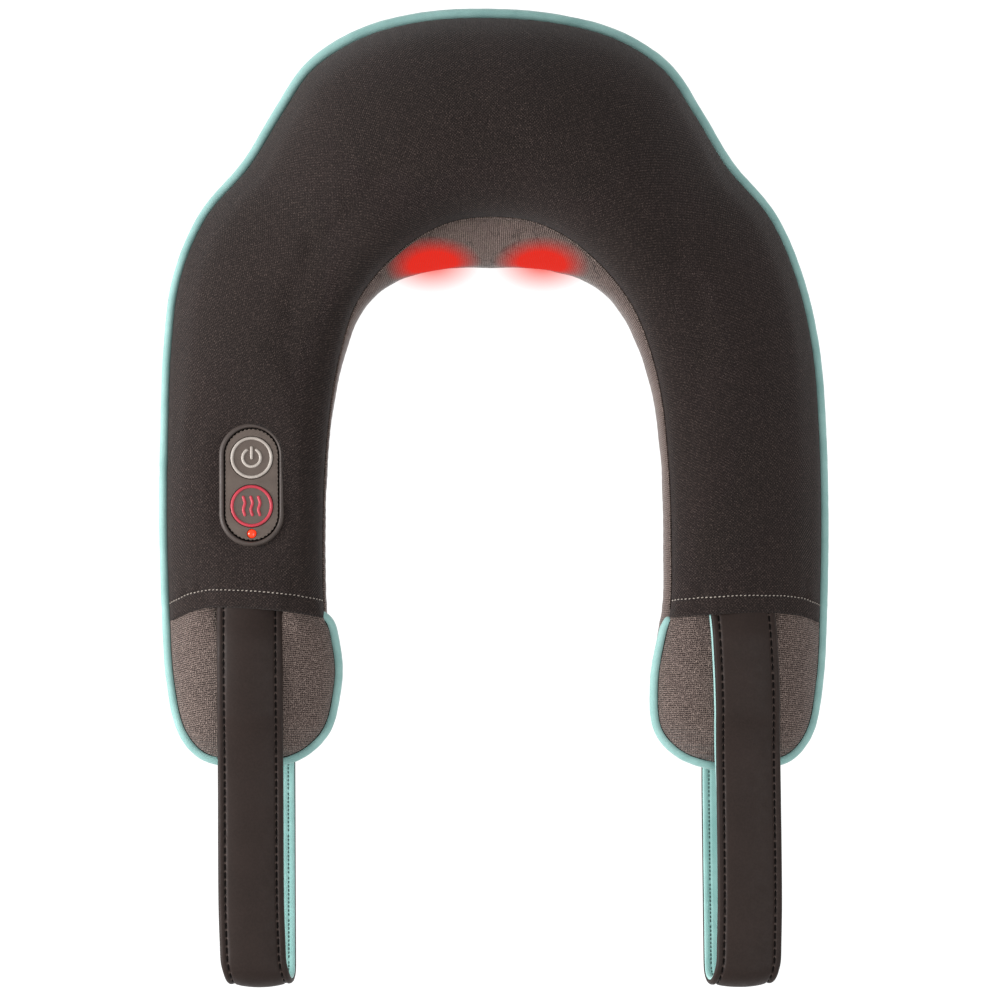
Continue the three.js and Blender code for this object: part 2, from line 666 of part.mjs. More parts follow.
function addMotor(group) {
  const alongY = (geometry) => geometry.rotateX(-Math.PI / 2).translate(0, 0, WORM_Z);
  const shaft = (r, y0, y1) => alongY(rod(r, y0, y1, 16));
  const thread = wormThread().translate(0, 0, WORM_Z);
  const [y0, y1] = MOTOR_Y;
  add('worm_shaft', join(thread, shaft(1.6, -19, y1 - 3)), MAT.steel, group);
  add('worm_end_bush', alongY(ringBody(1.9, 4, -20.5, -15.6, 20)), MAT.brass, group);
  const can = [[2.2, y0], [MOTOR_R, y0], [MOTOR_R, y1 - 1], [MOTOR_R - 1.2, y1 - 1]];
  can.push([MOTOR_R - 1.2, y0 + 1.5], [2.2, y0 + 1.5]);
  add('motor_can', alongY(turned(can, 24)), MAT.can, group);
  const cap = [[0, y1 - 2.4], [MOTOR_R - 1.6, y1 - 2.4], [MOTOR_R - 1.6, y1 - 0.6], [MOTOR_R, y1 - 0.6]];
  cap.push([MOTOR_R, y1], [4, y1 + 1.5], [0, y1 + 1.5]);
  add('motor_end_cap', alongY(turned(cap, 24)), MAT.nylon, group);
  add('motor_rotor', alongY(ringBody(1.9, 9.6, y0 + 4, y1 - 6, 20)), MAT.can, group);
}

// A spur outline with straight flanks, with a tooth or a gap facing along +X.
function wheelShape(toothFirst) {
  const tip = WHEEL_PITCH_R + 0.9;
  const root = WHEEL_PITCH_R - 1.3;
  const shape = new THREE.Shape();
  for (let i = 0; i < WHEEL_TEETH; i += 1) {
    const middle = (2 * Math.PI * (i + (toothFirst ? 0 : 0.5))) / WHEEL_TEETH;
    for (const [r, half] of [[root, -0.65], [tip, -0.35], [tip, 0.35], [root, 0.65]]) {
      const angle = middle + half / r;
      const point = [r * Math.cos(angle), r * Math.sin(angle)];
      if (i === 0 && half === -0.65) shape.moveTo(...point);
      else shape.lineTo(...point);
    }
  }
  shape.holes.push(circle(SHAFT_R + GAP));
  return shape;
}

function addHead(parent, side, sign) {
  const group = new THREE.Group();
  group.position.x = sign * HEAD_X;
  parent.add(group);
  // The worm's thread crests face the right wheel at y = 0 and the left wheel half a lead on.
  const wheel = plate(wheelShape(sign < 0), ...WHEEL_Z, 10);
  add(`worm_wheel_${side}`, wheel, MAT.nylon, group);
  add(`output_shaft_${side}`, ringBody(SHAFT_BORE_R, SHAFT_R, -9.3, 13, 16), MAT.steel, group);
  add(`front_bush_${side}`, ringBody(SHAFT_R + GAP, BUSH_R, -PLATE, 0, 16), MAT.brass, group);
  add(`rear_bush_${side}`, ringBody(SHAFT_R + GAP, BUSH_R, 9.4, 13, 16), MAT.brass, group);

  const disc = ringBody(SHAFT_R + GAP, CARRIER_R, ...CARRIER_Z, 28);
  add(`head_carrier_${side}`, disc, MAT.nylon, group);
  [0, 1].forEach((i) => {
    const top = CARRIER_Z[0] - GAP;
    const dome = [[0, top], [NODE_R, top], [NODE_R, top - 6], [NODE_R - 1.2, top - 11]];
    dome.push([NODE_R - 4.5, NODE_TIP_Z + 1.5], [0, NODE_TIP_Z]);
    const node = turned(dome.reverse(), 16).translate(i ? -NODE_AT : NODE_AT, 0, 0);
    add(`massage_node_${side}_${i + 1}`, node, MAT.clear, group);
  });
  const lamp = [[0, -20], [2.6, -19], [LAMP_R, -16], [LAMP_R, -10.2], [1.5, -9.9], [1.5, 12.9], [0, 12.9]];
  add(`heat_lamp_${side}`, turned(lamp, 12), MAT.lens, group);
}

function addMechanism() {
  const group = new THREE.Group();
  group.position.set(...MECH_AT);
  group.rotation.x = THREE.MathUtils.degToRad(MECH_TILT);
  massager.add(group);
  addGearbox(group);
  addMotor(group);
  addHead(group, 'left', -1);
  addHead(group, 'right', 1);
}

addCushion();
addPiping();
addStraps();
addControl();
addPower();
addMechanism();

export default massager;
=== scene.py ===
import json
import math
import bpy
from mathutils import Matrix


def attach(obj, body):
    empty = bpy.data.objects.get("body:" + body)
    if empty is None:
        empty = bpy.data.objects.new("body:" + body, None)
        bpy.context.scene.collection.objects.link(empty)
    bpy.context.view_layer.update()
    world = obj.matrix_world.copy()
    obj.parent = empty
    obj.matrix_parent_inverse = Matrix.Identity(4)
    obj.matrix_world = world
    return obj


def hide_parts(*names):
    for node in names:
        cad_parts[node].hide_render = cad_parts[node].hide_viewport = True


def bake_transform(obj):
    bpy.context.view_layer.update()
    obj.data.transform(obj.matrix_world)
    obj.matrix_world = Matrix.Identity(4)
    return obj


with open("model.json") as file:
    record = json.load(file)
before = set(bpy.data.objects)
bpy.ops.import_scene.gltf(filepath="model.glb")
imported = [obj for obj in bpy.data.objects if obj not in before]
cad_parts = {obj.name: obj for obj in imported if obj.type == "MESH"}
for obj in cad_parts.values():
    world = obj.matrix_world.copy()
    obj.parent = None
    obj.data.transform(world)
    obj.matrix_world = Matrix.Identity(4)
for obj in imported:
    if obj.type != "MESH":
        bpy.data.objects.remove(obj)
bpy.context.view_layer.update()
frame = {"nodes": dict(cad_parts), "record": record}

# A shiatsu neck massager: a stuffed horseshoe cushion of dark knit and ribbed taupe cloth with aqua
# piping, a two-button control on the left arm and a hand strap on each arm.
# Lengths are in millimetres, as in the CAD source, and body() turns them into metres. Materials,
# lights and the camera are in metres.

from types import SimpleNamespace

import bmesh
import bpy
import numpy as np
from mathutils import Matrix, Vector
from mathutils.kdtree import KDTree

MM = 0.001
SIDES = (("left", -1), ("right", 1))

# ---------------------------------------------------------------- driving sizes

# The cushion's stations and the sizes of the straps, control and jack are the CAD source's. The
# control, its buttons and its lamp stand up to 2 mm from their places there.

# outer edge x y z | seam x y z | crown, bulge, foot, base
STATIONS = np.array([
    (0, 240.2, 36, 0, 136.5, 59, 82, 24, 30, 0),
    (34, 239, 35.5, 19.5, 134.4, 58.5, 81.5, 22, 30, 0),
    (64, 230.5, 34, 36.5, 127, 57, 79, 17, 29, 0),
    (88, 215, 31, 50, 116.8, 54, 75, 11, 27, 0),
    (103.5, 192.5, 28, 61, 105.5, 50, 69, 7, 24, 0),
    (119.5, 166.5, 25, 70, 92, 46, 62, 5, 20, 0),
    (140.8, 141.5, 22, 77, 73, 42, 56, 3.5, 16, 0),
    (154, 111, 20, 82, 51, 39, 52, 2.5, 14, 0),
    (160.4, 75, 18.5, 85, 26, 36.5, 49.5, 2, 13, 0),
    (162.6, 35, 17.5, 86.5, 2, 34.5, 47.5, 2, 12, 0),
    (163.2, -10, 17, 87, -25, 33, 46, 2, 12, 0),
    (162, -56, 16, 86.5, -56, 29, 41, 2, 12, 0),
    (159.8, -90, 14.5, 83.5, -90, 20, 37, 1, 12, 0),
    (154.5, -114, 14, 87.5, -112.5, 15, 30, 1, 10, 0),
    (146, -124.5, 14, 97, -123, 14, 23, 0.5, 8, 2),
    (134, -128, 14, 108, -127.7, 14, 18.5, 0, 5, 7),
    (125, -129, 14, 117, -129, 14, 16, 0, 2, 11.5),
], float)
LAST = len(STATIONS) - 1
HEM = 11.15
CROWN_POWER = 2.4
CROWN_EDGE = 0.55
SEAM_GAP = 1.3
COVER = 1.5
TUCK = 1.4  # how far the covers reach out under the piping
PIPING_R = 2.35
PIPING_OUT = 1.55
THREAD_R = 0.42

CONTROL_AT = (-121.6, 5.5, 46.9)
CONTROL_SIZE = (32, 61)
RIM = 3.4
BUTTON_R = 10.4
BUTTON_Y = {"power": 13.2, "heat": -10.6}
LAMP_Y = -24.2

STRAP_X = 124
STRAP_W = 32.5
STRAP_EDGE = 3.6  # from the band's edge to its stitches
STITCH = 4.1  # from one stitch of the band to the next
FIRST_GAP = 4.0  # a quarter of a stitch before the first gap between stitches
FINE_STITCH = 2.1
STRAP_SHIFT = {-1: 5.7, 1: 5.2}  # how far each strap's return run lies nearer the middle
STRAP_SHORTER = {-1: 3.2, 1: 0.4}
BAND = 2.2
LINING = 1
FOLD_Y = -137

JACK_AT = (-148, -62, 10)
JACK_R = 3.8

# ---------------------------------------------------------------- the cushion's surface


def unit(v):
    return v / np.maximum(np.linalg.norm(v, axis=-1, keepdims=True), 1e-9)


def smooth(x, a, b):
    """0 up to a, 1 from b on, and an even curve between them."""
    t = np.clip((x - a) / (b - a), 0, 1)
    return t * t * (3 - 2 * t)


def hump(x, middle, half):
    return np.exp(-(((x - middle) / half) ** 2))


def catmull(points, t):
    """A centripetal Catmull-Rom curve through the points, with t from 0 to 1."""
    points = np.asarray(points, float)
    first = 2 * points[0] - points[1]
    last = 2 * points[-1] - points[-2]
    p = np.concatenate([[first], points, [last]])
    spot = np.clip(t, 0, 1) * (len(points) - 1)
    i = np.minimum(spot.astype(int), len(points) - 2)
    w = (spot - i)[..., None]
    p0, p1, p2, p3 = p[i], p[i + 1], p[i + 2], p[i + 3]
    pairs = ((p0, p1), (p1, p2), (p2, p3))
    d0, d1, d2 = (np.sqrt(np.linalg.norm(b - a, axis=-1))[..., None] for a, b in pairs)
    m1 = ((p1 - p0) / d0 - (p2 - p0) / (d0 + d1) + (p2 - p1) / d1) * d1
    m2 = ((p2 - p1) / d1 - (p3 - p1) / (d1 + d2) + (p3 - p2) / d2) * d1
    cubic = 2 * p1 - 2 * p2 + m1 + m2
    square = -3 * p1 + 3 * p2 - 2 * m1 - m2
    return p1 + m1 * w + square * w**2 + cubic * w**3


def distances(path):
    """How far along a path each of its points lies."""
    return np.concatenate([[0], np.cumsum(np.linalg.norm(np.diff(path, axis=0), axis=1))])


def sampled(values, far, stops):
    """Values known at the distances far, at the distances stops."""
    return np.stack([np.interp(stops, far, column) for column in values.T], -1)


def eased(path, rounds):
    """A path with its small corners evened out."""
    for _ in range(rounds):
        path[1:-1] = (path[:-2] + 2 * path[1:-1] + path[2:]) / 4
    return path


def tree_of(points):
    """A search tree that finds the nearest of these points."""
    tree = KDTree(len(points))
    for i, point in enumerate(points):
        tree.insert(point, i)
    tree.balance()
    return tree


def mirrored(points, flip):
    """The left half's points and then the right half's, which are the ones given."""
    return np.concatenate([points[:0:-1] * flip, points])


def settled(points):
    """The soft cushion as it lies: the neck part a little to the left, the right arm longer."""
    x, y = points[:, 0], points[:, 1]
    leaning = -2.5 * smooth(y, 50, 125)
    wider = -3.6 * hump(y, -115, 26) * (1 - smooth(x, 100, 118)) * (x > 0)
    longer = -3.2 * smooth(-y, 60, 112) * (x > 0)
    rounder = -np.where(x > 0, 1.9, 1.1) * hump(np.abs(x), 44, 18) * (y > 200)
    return points + np.column_stack([leaning + wider, longer + rounder, 0 * x])


def leftward(line):
    """Unit vectors to the left of a line, in plan."""
    along = unit(np.gradient(line[:, :2], axis=0))
    return np.column_stack([-along[:, 1], along[:, 0], 0 * along[:, 0]])


def tucked(line, side, share):
    """A line moved sideways in plan, so that the cloth reaches in under the piping."""
    return line + TUCK * share[:, None] * side * leftward(line)


ROWS = np.abs(np.arange(-LAST, LAST + 1))
CROWNED = 1 - smooth(ROWS, 2, 7)  # 1 round the top, where the piping is fuller
OUTER = tucked(settled(mirrored(STATIONS[:, 0:3], (-1, 1, 1))), 1, 1 - CROWNED)
SEAM = tucked(settled(mirrored(STATIONS[:, 3:6], (-1, 1, 1))), -1, np.clip(ROWS - 11, 0, 1))
HEIGHTS = mirrored(STATIONS[:, 6:9], (1, 1, 1))


def section(row):
    """The cross-section at each row, from -LAST at the left arm's end to LAST at the right's."""
    row = np.asarray(row, float)
    t = (row + LAST) / (2 * LAST)
    outer, seam, shape = catmull(OUTER, t), catmull(SEAM, t), catmull(HEIGHTS, t)
    gap = (outer - seam)[..., :2]
    free = smooth(np.abs(row), 11.08, 11.3) * (1 - smooth(np.abs(row), 11.5, 12.6))
    seam[..., :2] -= unit(gap) * (np.where(row < 0, 1.7, 0.3) * free)[..., None]
    gap = (outer - seam)[..., :2]
    width = np.linalg.norm(gap, axis=-1)
    return SimpleNamespace(
        outer=outer,
        seam=seam,
        width=width,
        along=gap / width[..., None],
        foot=np.minimum(shape[..., 2], width * 0.35),
        bulge=shape[..., 1] + 1.8 * smooth(row, 3, 6) * (1 - smooth(row, 11.2, 12)),
        rise=shape[..., 0] - (seam[..., 2] + outer[..., 2]) / 2,
        base=np.interp(np.abs(row), np.arange(LAST + 1), STATIONS[:, 9]),
    )


def place(s, d, z):
    """d is the distance from the seam towards the outer edge, z the height."""
    x = s.seam[..., 0] + s.along[..., 0] * d
    y = s.seam[..., 1] + s.along[..., 1] * d
    return np.stack(np.broadcast_arrays(x, y, z), -1)


def top_surface(row, share):
    s = section(row)
    crown = (1 - np.abs(2 * share - 1) ** CROWN_POWER) ** CROWN_EDGE
    z = s.seam[..., 2] * (1 - share) + s.outer[..., 2] * share + s.rise * crown
    return place(s, share * s.width, z)


def bezier(points, t):
    """A Bezier curve's two coordinates at t."""
    last = len(points) - 1
    weights = [math.comb(last, i) * t**i * (1 - t) ** (last - i) for i in range(last + 1)]
    return [sum(w * p[k] for w, p in zip(weights, points)) for k in (0, 1)]


def under_surface(row, wall, flat, side):
    """The wall round the neck, the flat underside and the outer side, in steps across."""
    s = section(row)
    top, foot, base, width = s.seam[..., 2], s.foot, s.base, s.width
    tall = top - base
    edge = s.outer[..., 2] - SEAM_GAP
    wall_points = (
        (0 * top, top - SEAM_GAP),
        (-2.1 * s.bulge, base + 0.85 * tall),
        (-0.33 * s.bulge, base + 0.24 * tall),
        (foot, base),
    )
    lip = 0.1 * (s.outer[..., 2] - base)
    side_points = ((width - foot, base), (width - 0.1 * foot, base + lip), (width, edge))
    parts = [
        bezier(wall_points, wall),
        [foot + (width - 2 * foot) * flat, base + 0 * flat],
        bezier(side_points, side),
    ]
    return np.concatenate([place(s, d, z) for d, z in parts], axis=1)


def even(count):
    return np.linspace(0, 1, count)[None, :]


def rounded(count):
    """Steps from 0 to 1 that stand closer together at both ends."""
    return (1 - np.cos(np.pi * np.linspace(0, 1, count)))[None, :] / 2


def tangents(grid):
    return unit(np.gradient(grid, axis=0)), unit(np.gradient(grid, axis=1))


def normals(grid, flip=1):
    along, across = tangents(grid)
    return flip * unit(np.cross(along, across))


def raised(grid, lift, flip=1):
    """A grid moved out of its surface by lift."""
    return grid + normals(grid, flip) * lift[..., None]


def cloth_lengths(grid):
    """How far along and across the cloth each point of a grid lies."""
    along = np.linalg.norm(np.diff(grid, axis=0), axis=-1).mean(axis=1)
    across = np.linalg.norm(np.diff(grid, axis=1), axis=-1)
    u = np.concatenate([[0], np.cumsum(along)])[:, None] + 0 * grid[..., 0]
    v = np.concatenate([np.zeros((len(grid), 1)), np.cumsum(across, axis=1)], axis=1)
    return np.stack([u, v - v[:, -1:] / 2, 0 * u], -1)


def ripple(u, v, size, seed):
    """A smooth random field from about -1 to 1 whose waves are about size long."""
    rng = np.random.default_rng(seed)
    total = 0 * (u + v)
    for _ in range(7):
        angle, phase, stretch = rng.uniform(0, 2 * np.pi, 2).tolist() + [rng.uniform(0.7, 1.5)]
        wave = 2 * np.pi / (size * stretch)
        total = total + np.sin(wave * (u * np.cos(angle) + v * np.sin(angle)) + phase)
    return total / 4


# ---------------------------------------------------------------- meshes


def added(name, data):
    """A new object in the scene."""
    made = bpy.data.objects.new(name, data)
    bpy.context.scene.collection.objects.link(made)
    return made


def points_of(mesh):
    """A mesh's points in millimetres."""
    return np.array([v.co for v in mesh.vertices], float) / MM


def shaped(piece):
    """The mesh of a piece with its modifiers worked in."""
    graph = bpy.context.evaluated_depsgraph_get()
    return bpy.data.meshes.new_from_object(piece.evaluated_get(graph))


def body(name, points, faces, cloth=None, shade=True):
    """A mesh object from points in millimetres, with its doubles merged and faces outward."""
    mesh = bpy.data.meshes.new(name)
    mesh.from_pydata((np.asarray(points) * MM).tolist(), [], faces)
    if cloth is not None:
        layer = mesh.attributes.new("cloth", "FLOAT_VECTOR", "POINT")
        layer.data.foreach_set("vector", (np.asarray(cloth) * MM).astype(np.float32).ravel())
    bm = bmesh.new()
    bm.from_mesh(mesh)
    bmesh.ops.remove_doubles(bm, verts=bm.verts, dist=1e-6)
    bmesh.ops.dissolve_degenerate(bm, edges=bm.edges, dist=1e-7)
    bmesh.ops.recalc_face_normals(bm, faces=bm.faces)
    bm.to_mesh(mesh)
    bm.free()
    mesh.shade_smooth() if shade else mesh.shade_flat()
    return added(name, mesh)


def wrapped(rings, across, closed=False):
    """Quads over rings of points that each close on themselves."""
    count = rings if closed else rings - 1
    i = np.arange(count)[:, None]
    k = np.arange(across)[None, :]
    j, n = (i + 1) % rings, (k + 1) % across
    quads = [i * across + k, i * across + n, j * across + n, j * across + k]
    return np.stack(quads, -1).reshape(-1, 4).tolist()


def skinned(name, rings, cloth=None, closed=False):
    """A body with quads over its rings of points."""
    faces = wrapped(*rings.shape[:2], closed)
    return body(name, rings.reshape(-1, 3), faces, None if cloth is None else cloth.reshape(-1, 3))


HALF_TURN = np.radians([45, 90, 135])
QUARTER_TURN = np.radians([30, 60, 90])


def shell(name, grid, thickness, flip=1):
    """A closed sheet of cloth under a grid of points, with round edges all the way round."""
    normal = normals(grid, flip)
    along, across = tangents(grid)
    thick = np.broadcast_to(thickness, grid.shape[:2])[..., None] / 2
    middle = grid - normal * thick

    def rim(k, out):
        turns = [middle[:, k] + thick[:, k] * (normal[:, k] * math.cos(a) + out * math.sin(a))
                 for a in HALF_TURN]
        return np.stack(turns, 1)

    last, first = rim(-1, across[:, -1]), rim(0, -across[:, 0])[:, ::-1]
    inner = (middle - normal * thick)[:, ::-1]
    ring = np.concatenate([grid, last, inner, first], 1)
    spine, coords = (
        np.concatenate([v, v[:, -1:].repeat(3, 1), v[:, ::-1], v[:, :1].repeat(3, 1)], 1)
        for v in (middle, cloth_lengths(grid)))

    def end(i, out):
        half = thick[i].mean()
        return [spine[i] + (ring[i] - spine[i]) * math.cos(a) + out * half * math.sin(a)
                for a in QUARTER_TURN]

    start = end(0, -along[0].mean(0))[::-1]
    finish = end(-1, along[-1].mean(0))
    rings = np.concatenate([start, ring, finish])
    cloths = np.concatenate([coords[:1].repeat(3, 0), coords, coords[-1:].repeat(3, 0)])
    return skinned(name, rings, cloths)


def frames(path, closed):
    """Unit vectors along, sideways and upward at each point of a path."""
    if closed:
        along = unit(np.roll(path, -1, 0) - np.roll(path, 1, 0))
    else:
        along = unit(np.gradient(path, axis=0))
    side = unit(np.cross(along, (0, 0, 1)))
    return along, side, unit(np.cross(side, along))


def tube(name, path, radius, sides=12, flat=1.0, closed=False):
    """A round bar along a path, with round ends unless it is closed. flat squeezes its height."""
    path = np.asarray(path, float)
    radius = np.broadcast_to(radius, len(path)).astype(float)
    along, side, high = frames(path, closed)
    turn = np.linspace(0, 2 * np.pi, sides, endpoint=False)[None, :, None]

    def ring(i, scale=1.0, out=0.0):
        r = radius[i, None, None] * scale
        centre = path[i, None] + along[i, None] * out
        return centre + r * (side[i, None] * np.cos(turn) + high[i, None] * flat * np.sin(turn))

    rings = ring(np.arange(len(path)))
    lengths = distances(path)
    if not closed:
        caps = [(math.cos(a), radius[0] * math.sin(a)) for a in QUARTER_TURN]
        start = [ring(np.array([0]), c, -o)[0] for c, o in caps][::-1]
        finish = [ring(np.array([len(path) - 1]), c, o)[0] for c, o in caps]
        rings = np.concatenate([start, rings, finish])
        lengths = np.concatenate([[0] * 3, lengths, [lengths[-1]] * 3])
    cloth = np.zeros(rings.shape)
    cloth[..., 0] = lengths[:, None]
    cloth[..., 1] = turn[..., 0] * radius.mean()
    return skinned(name, rings, cloth, closed)


def turned(name, profile, at, sides=48):
    """A body turned about an upright axis from [radius, height] points that meet the axis."""
    profile = np.asarray(profile, float)
    turn = np.linspace(0, 2 * np.pi, sides, endpoint=False)
    x = profile[:, 0, None] * np.cos(turn) + at[0]
    y = profile[:, 0, None] * np.sin(turn) + at[1]
    z = profile[:, 1, None] + 0 * turn + at[2]
    return skinned(name, np.stack([x, y, z], -1))


def dashes(name, centres, along, up, length, radius):
    """Short rounded stitches, one at each centre, as one piece."""
    sides = 6
    stops = [(-0.5, 0.0), (-0.42, 0.7), (-0.2, 1.0), (0.2, 1.0), (0.42, 0.7), (0.5, 0.0)]
    turn = np.linspace(0, 2 * np.pi, sides, endpoint=False)
    points, faces = [], []
    one = wrapped(len(stops), sides)
    for k, (c, a, u) in enumerate(zip(centres, unit(along), unit(up))):
        b = np.cross(a, u)
        for t, r in stops:
            points.append(c + a * t * length + radius * r * (
                b * np.cos(turn)[:, None] + u * 0.8 * np.sin(turn)[:, None]))
        first = k * len(stops) * sides
        faces.extend([[first + v for v in face] for face in one])
    return body(name, np.concatenate(points), faces)


def voxel_remesh(piece, size):
    voxels = piece.modifiers.new("even", "REMESH")
    voxels.mode = "VOXEL"
    voxels.voxel_size = size * MM


def apply_modifiers(piece):
    fresh = shaped(piece)
    piece.modifiers.clear()
    piece.data = fresh


def carve(piece, *tools):
    """Cuts closed bodies out of a piece and removes them."""
    for tool in tools:
        cut = piece.modifiers.new("cut", "BOOLEAN")
        cut.operation = "DIFFERENCE"
        cut.solver = "EXACT"
        cut.object = tool
        apply_modifiers(piece)
        bpy.data.objects.remove(tool)


def finish_piece(piece, look, rides="cushion", replaces=()):
    """Gives a piece its material and its body, and hides the CAD parts that it replaces."""
    piece.data.materials.clear()
    piece.data.materials.append(LOOKS[look])
    if rides:
        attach(piece, rides)
    if replaces:
        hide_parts(*replaces)


# ---------------------------------------------------------------- node materials


def srgb(*levels):
    """A linear colour from 0 to 255 screen levels."""
    part = [v / 255 for v in levels]
    return (*(p / 12.92 if p < 0.04 else ((p + 0.055) / 1.055) ** 2.4 for p in part), 1)


class Surface:
    """One node material, built up from small pieces."""

    def __init__(self, name, roughness=0.8, metallic=0.0, **sockets):
        self.material = bpy.data.materials.new(name)
        self.material.use_nodes = True
        self.tree = self.material.node_tree
        self.shader = self.tree.nodes["Principled BSDF"]
        self.set("Roughness", roughness)
        self.set("Metallic", metallic)
        for socket, value in sockets.items():
            self.set(socket.replace("_", " "), value)

    def set(self, socket, value):
        self.feed(self.shader.inputs[socket], value)

    def feed(self, socket, value):
        if isinstance(value, bpy.types.NodeSocket):
            self.tree.links.new(value, socket)
        else:
            socket.default_value = value

    def node(self, kind, **settings):
        made = self.tree.nodes.new("ShaderNode" + kind)
        for key, value in settings.items():
            setattr(made, key, value)
        return made

    def math(self, operation, a, b=0.5):
        made = self.node("Math", operation=operation)
        self.feed(made.inputs[0], a)
        self.feed(made.inputs[1], b)
        return made.outputs[0]

    def plus(self, a, b):
        return self.math("ADD", a, b)

    def minus(self, a, b):
        return self.math("SUBTRACT", a, b)

    def times(self, a, b):
        return self.math("MULTIPLY", a, b)

    def size(self, a):
        return self.math("ABSOLUTE", a)

    def mix(self, factor, a, b):
        """A mix of two colours, each a socket or three screen levels."""
        made = self.node("Mix", data_type="RGBA")
        for k, value in ((0, factor), (6, a), (7, b)):
            self.feed(made.inputs[k], srgb(*value) if isinstance(value, tuple) else value)
        return made.outputs[2]

    def ramp(self, value, low, high, to_low=0.0, to_high=1.0):
        made = self.node("MapRange")
        for k, v in enumerate((value, low, high, to_low, to_high)):
            self.feed(made.inputs[k], v)
        return made.outputs[0]

    def place(self):
        """Where a point is, in metres, in the object's own frame."""
        return self.node("TexCoord").outputs["Object"]

    def cloth(self):
        """How far along and across the cloth a point is, in metres."""
        return self.node("Attribute", attribute_name="cloth").outputs["Vector"]

    def split(self, vector):
        made = self.node("SeparateXYZ")
        self.feed(made.inputs[0], vector)
        return made.outputs

    def noise(self, vector, size, detail=2.0):
        """Smooth noise from 0 to 1 with grains about size metres across."""
        made = self.node("TexNoise")
        self.feed(made.inputs["Vector"], vector)
        self.feed(made.inputs["Scale"], 1 / size)
        self.feed(made.inputs["Detail"], detail)
        return made.outputs[0]

    def cells(self, vector, size):
        made = self.node("TexVoronoi")
        self.feed(made.inputs["Vector"], vector)
        self.feed(made.inputs["Scale"], 1 / size)
        return made.outputs["Distance"]

    def ribs(self, value, pitch):
        """Even ribs from 0 to 1, one every pitch metres of value."""
        turned_value = self.times(value, 2 * math.pi / pitch)
        wave = self.math("SINE", turned_value)
        return self.plus(self.times(wave, 0.5), 0.5)

    def cloud(self, place, size):
        """Broad soft patches from 0 to 1."""
        return self.ramp(self.noise(place, size), 0.3, 0.7)

    def bump(self, height, distance, strength):
        made = self.node("Bump")
        self.feed(made.inputs["Strength"], strength)
        self.feed(made.inputs["Distance"], distance)
        self.feed(made.inputs["Height"], height)
        self.set("Normal", made.outputs[0])

    def finished(self, colour, roughness, height, distance, strength):
        """The material with its colour, roughness and relief."""
        self.set("Base Color", colour)
        self.set("Roughness", roughness)
        self.bump(height, distance, strength)
        return self.material


def knit_dark():
    s = Surface("knit_dark", 0.92, Specular_IOR_Level=0.15, Sheen_Weight=0.07, Sheen_Roughness=0.5)
    cloth, place = s.cloth(), s.place()
    x, y, _ = s.split(cloth)
    one = s.ribs(s.plus(x, y), 0.0016)
    two = s.ribs(s.minus(x, y), 0.0016)
    loops = s.times(one, two)
    grain = s.noise(place, 0.0006, 1.0)
    height = s.plus(loops, s.times(grain, 0.6))
    fleck = s.times(s.ramp(grain, 0.5, 0.7), s.ramp(loops, 0.2, 0.8, 0.35, 1.0))
    pits = s.ramp(loops, 0.3, 0.0)
    base = s.mix(s.cloud(place, 0.03), (37, 30, 28), (41, 33, 31))
    dark = s.mix(s.times(pits, 0.6), base, (22, 17, 16))
    colour = s.mix(s.times(fleck, 0.66), dark, (100, 85, 79))
    return s.finished(colour, s.ramp(height, 0.0, 1.4, 0.97, 0.86), height, 0.0003, 0.8)


GLOW_AT = ((-0.0315, 0.1135, 0.0495), (0.0218, 0.1135, 0.0495))
GLOW_WIDE = 1.6  # how much wider than tall each glow is


def ribbed_taupe(name, glowing):
    sheen = 0.5 if glowing else 0.15
    s = Surface(name, 0.9, Specular_IOR_Level=0.2, Sheen_Weight=sheen, Sheen_Roughness=0.45)
    cloth, place = s.cloth(), s.place()
    x, y, _ = s.split(cloth)
    from_middle = s.size(s.split(place)[0])
    z = s.split(place)[2]
    drift = s.times(s.noise(place, 0.02), 0.0016)
    pitch = 0.0012 if glowing else 0.00105
    rib = s.ribs(s.plus(x, drift), pitch)
    weft = s.ribs(s.plus(y, s.times(drift, 0.7)), pitch)
    grain = s.noise(place, 0.0005, 1.0)
    weave = 0.15 if glowing else 0.4
    height = s.plus(s.times(rib, 1.2 - weave), s.times(weft, weave))
    height = s.plus(height, s.times(grain, 0.4))
    cloud = s.cloud(place, 0.025)
    if glowing:
        base = s.mix(cloud, (108, 92, 87), (122, 105, 98))
        dark = s.mix(s.ramp(height, 0.25, 1.1), (66, 55, 51), base)
        # Painted shade: dark noise lines on the wall's upper middle stand in for the shade in the
        # cloth's creases.
        line = s.size(s.minus(s.noise(place, 0.011, 1.0), 0.5))
        crease = s.times(s.ramp(line, 0.0, 0.02, 0.7, 0.0), s.ramp(z, 0.02, 0.035))
        crease = s.times(crease, s.ramp(from_middle, 0.068, 0.055))
        dark = s.mix(crease, dark, (54, 44, 42))
    else:
        base = s.mix(cloud, (104, 89, 83), (114, 98, 91))
        dark = s.mix(s.ramp(height, 0.45, 1.25), (30, 23, 21), base)
    fleck = s.ramp(grain, 0.52, 0.68, 0.0, 0.3 if glowing else 0.65)
    if glowing:
        add_glow(s, place, rib)
    colour = s.mix(fleck, dark, (170, 151, 142))
    return s.finished(colour, s.ramp(rib, 0.0, 1.0, 0.95, 0.82), height, 0.0004, 0.8)


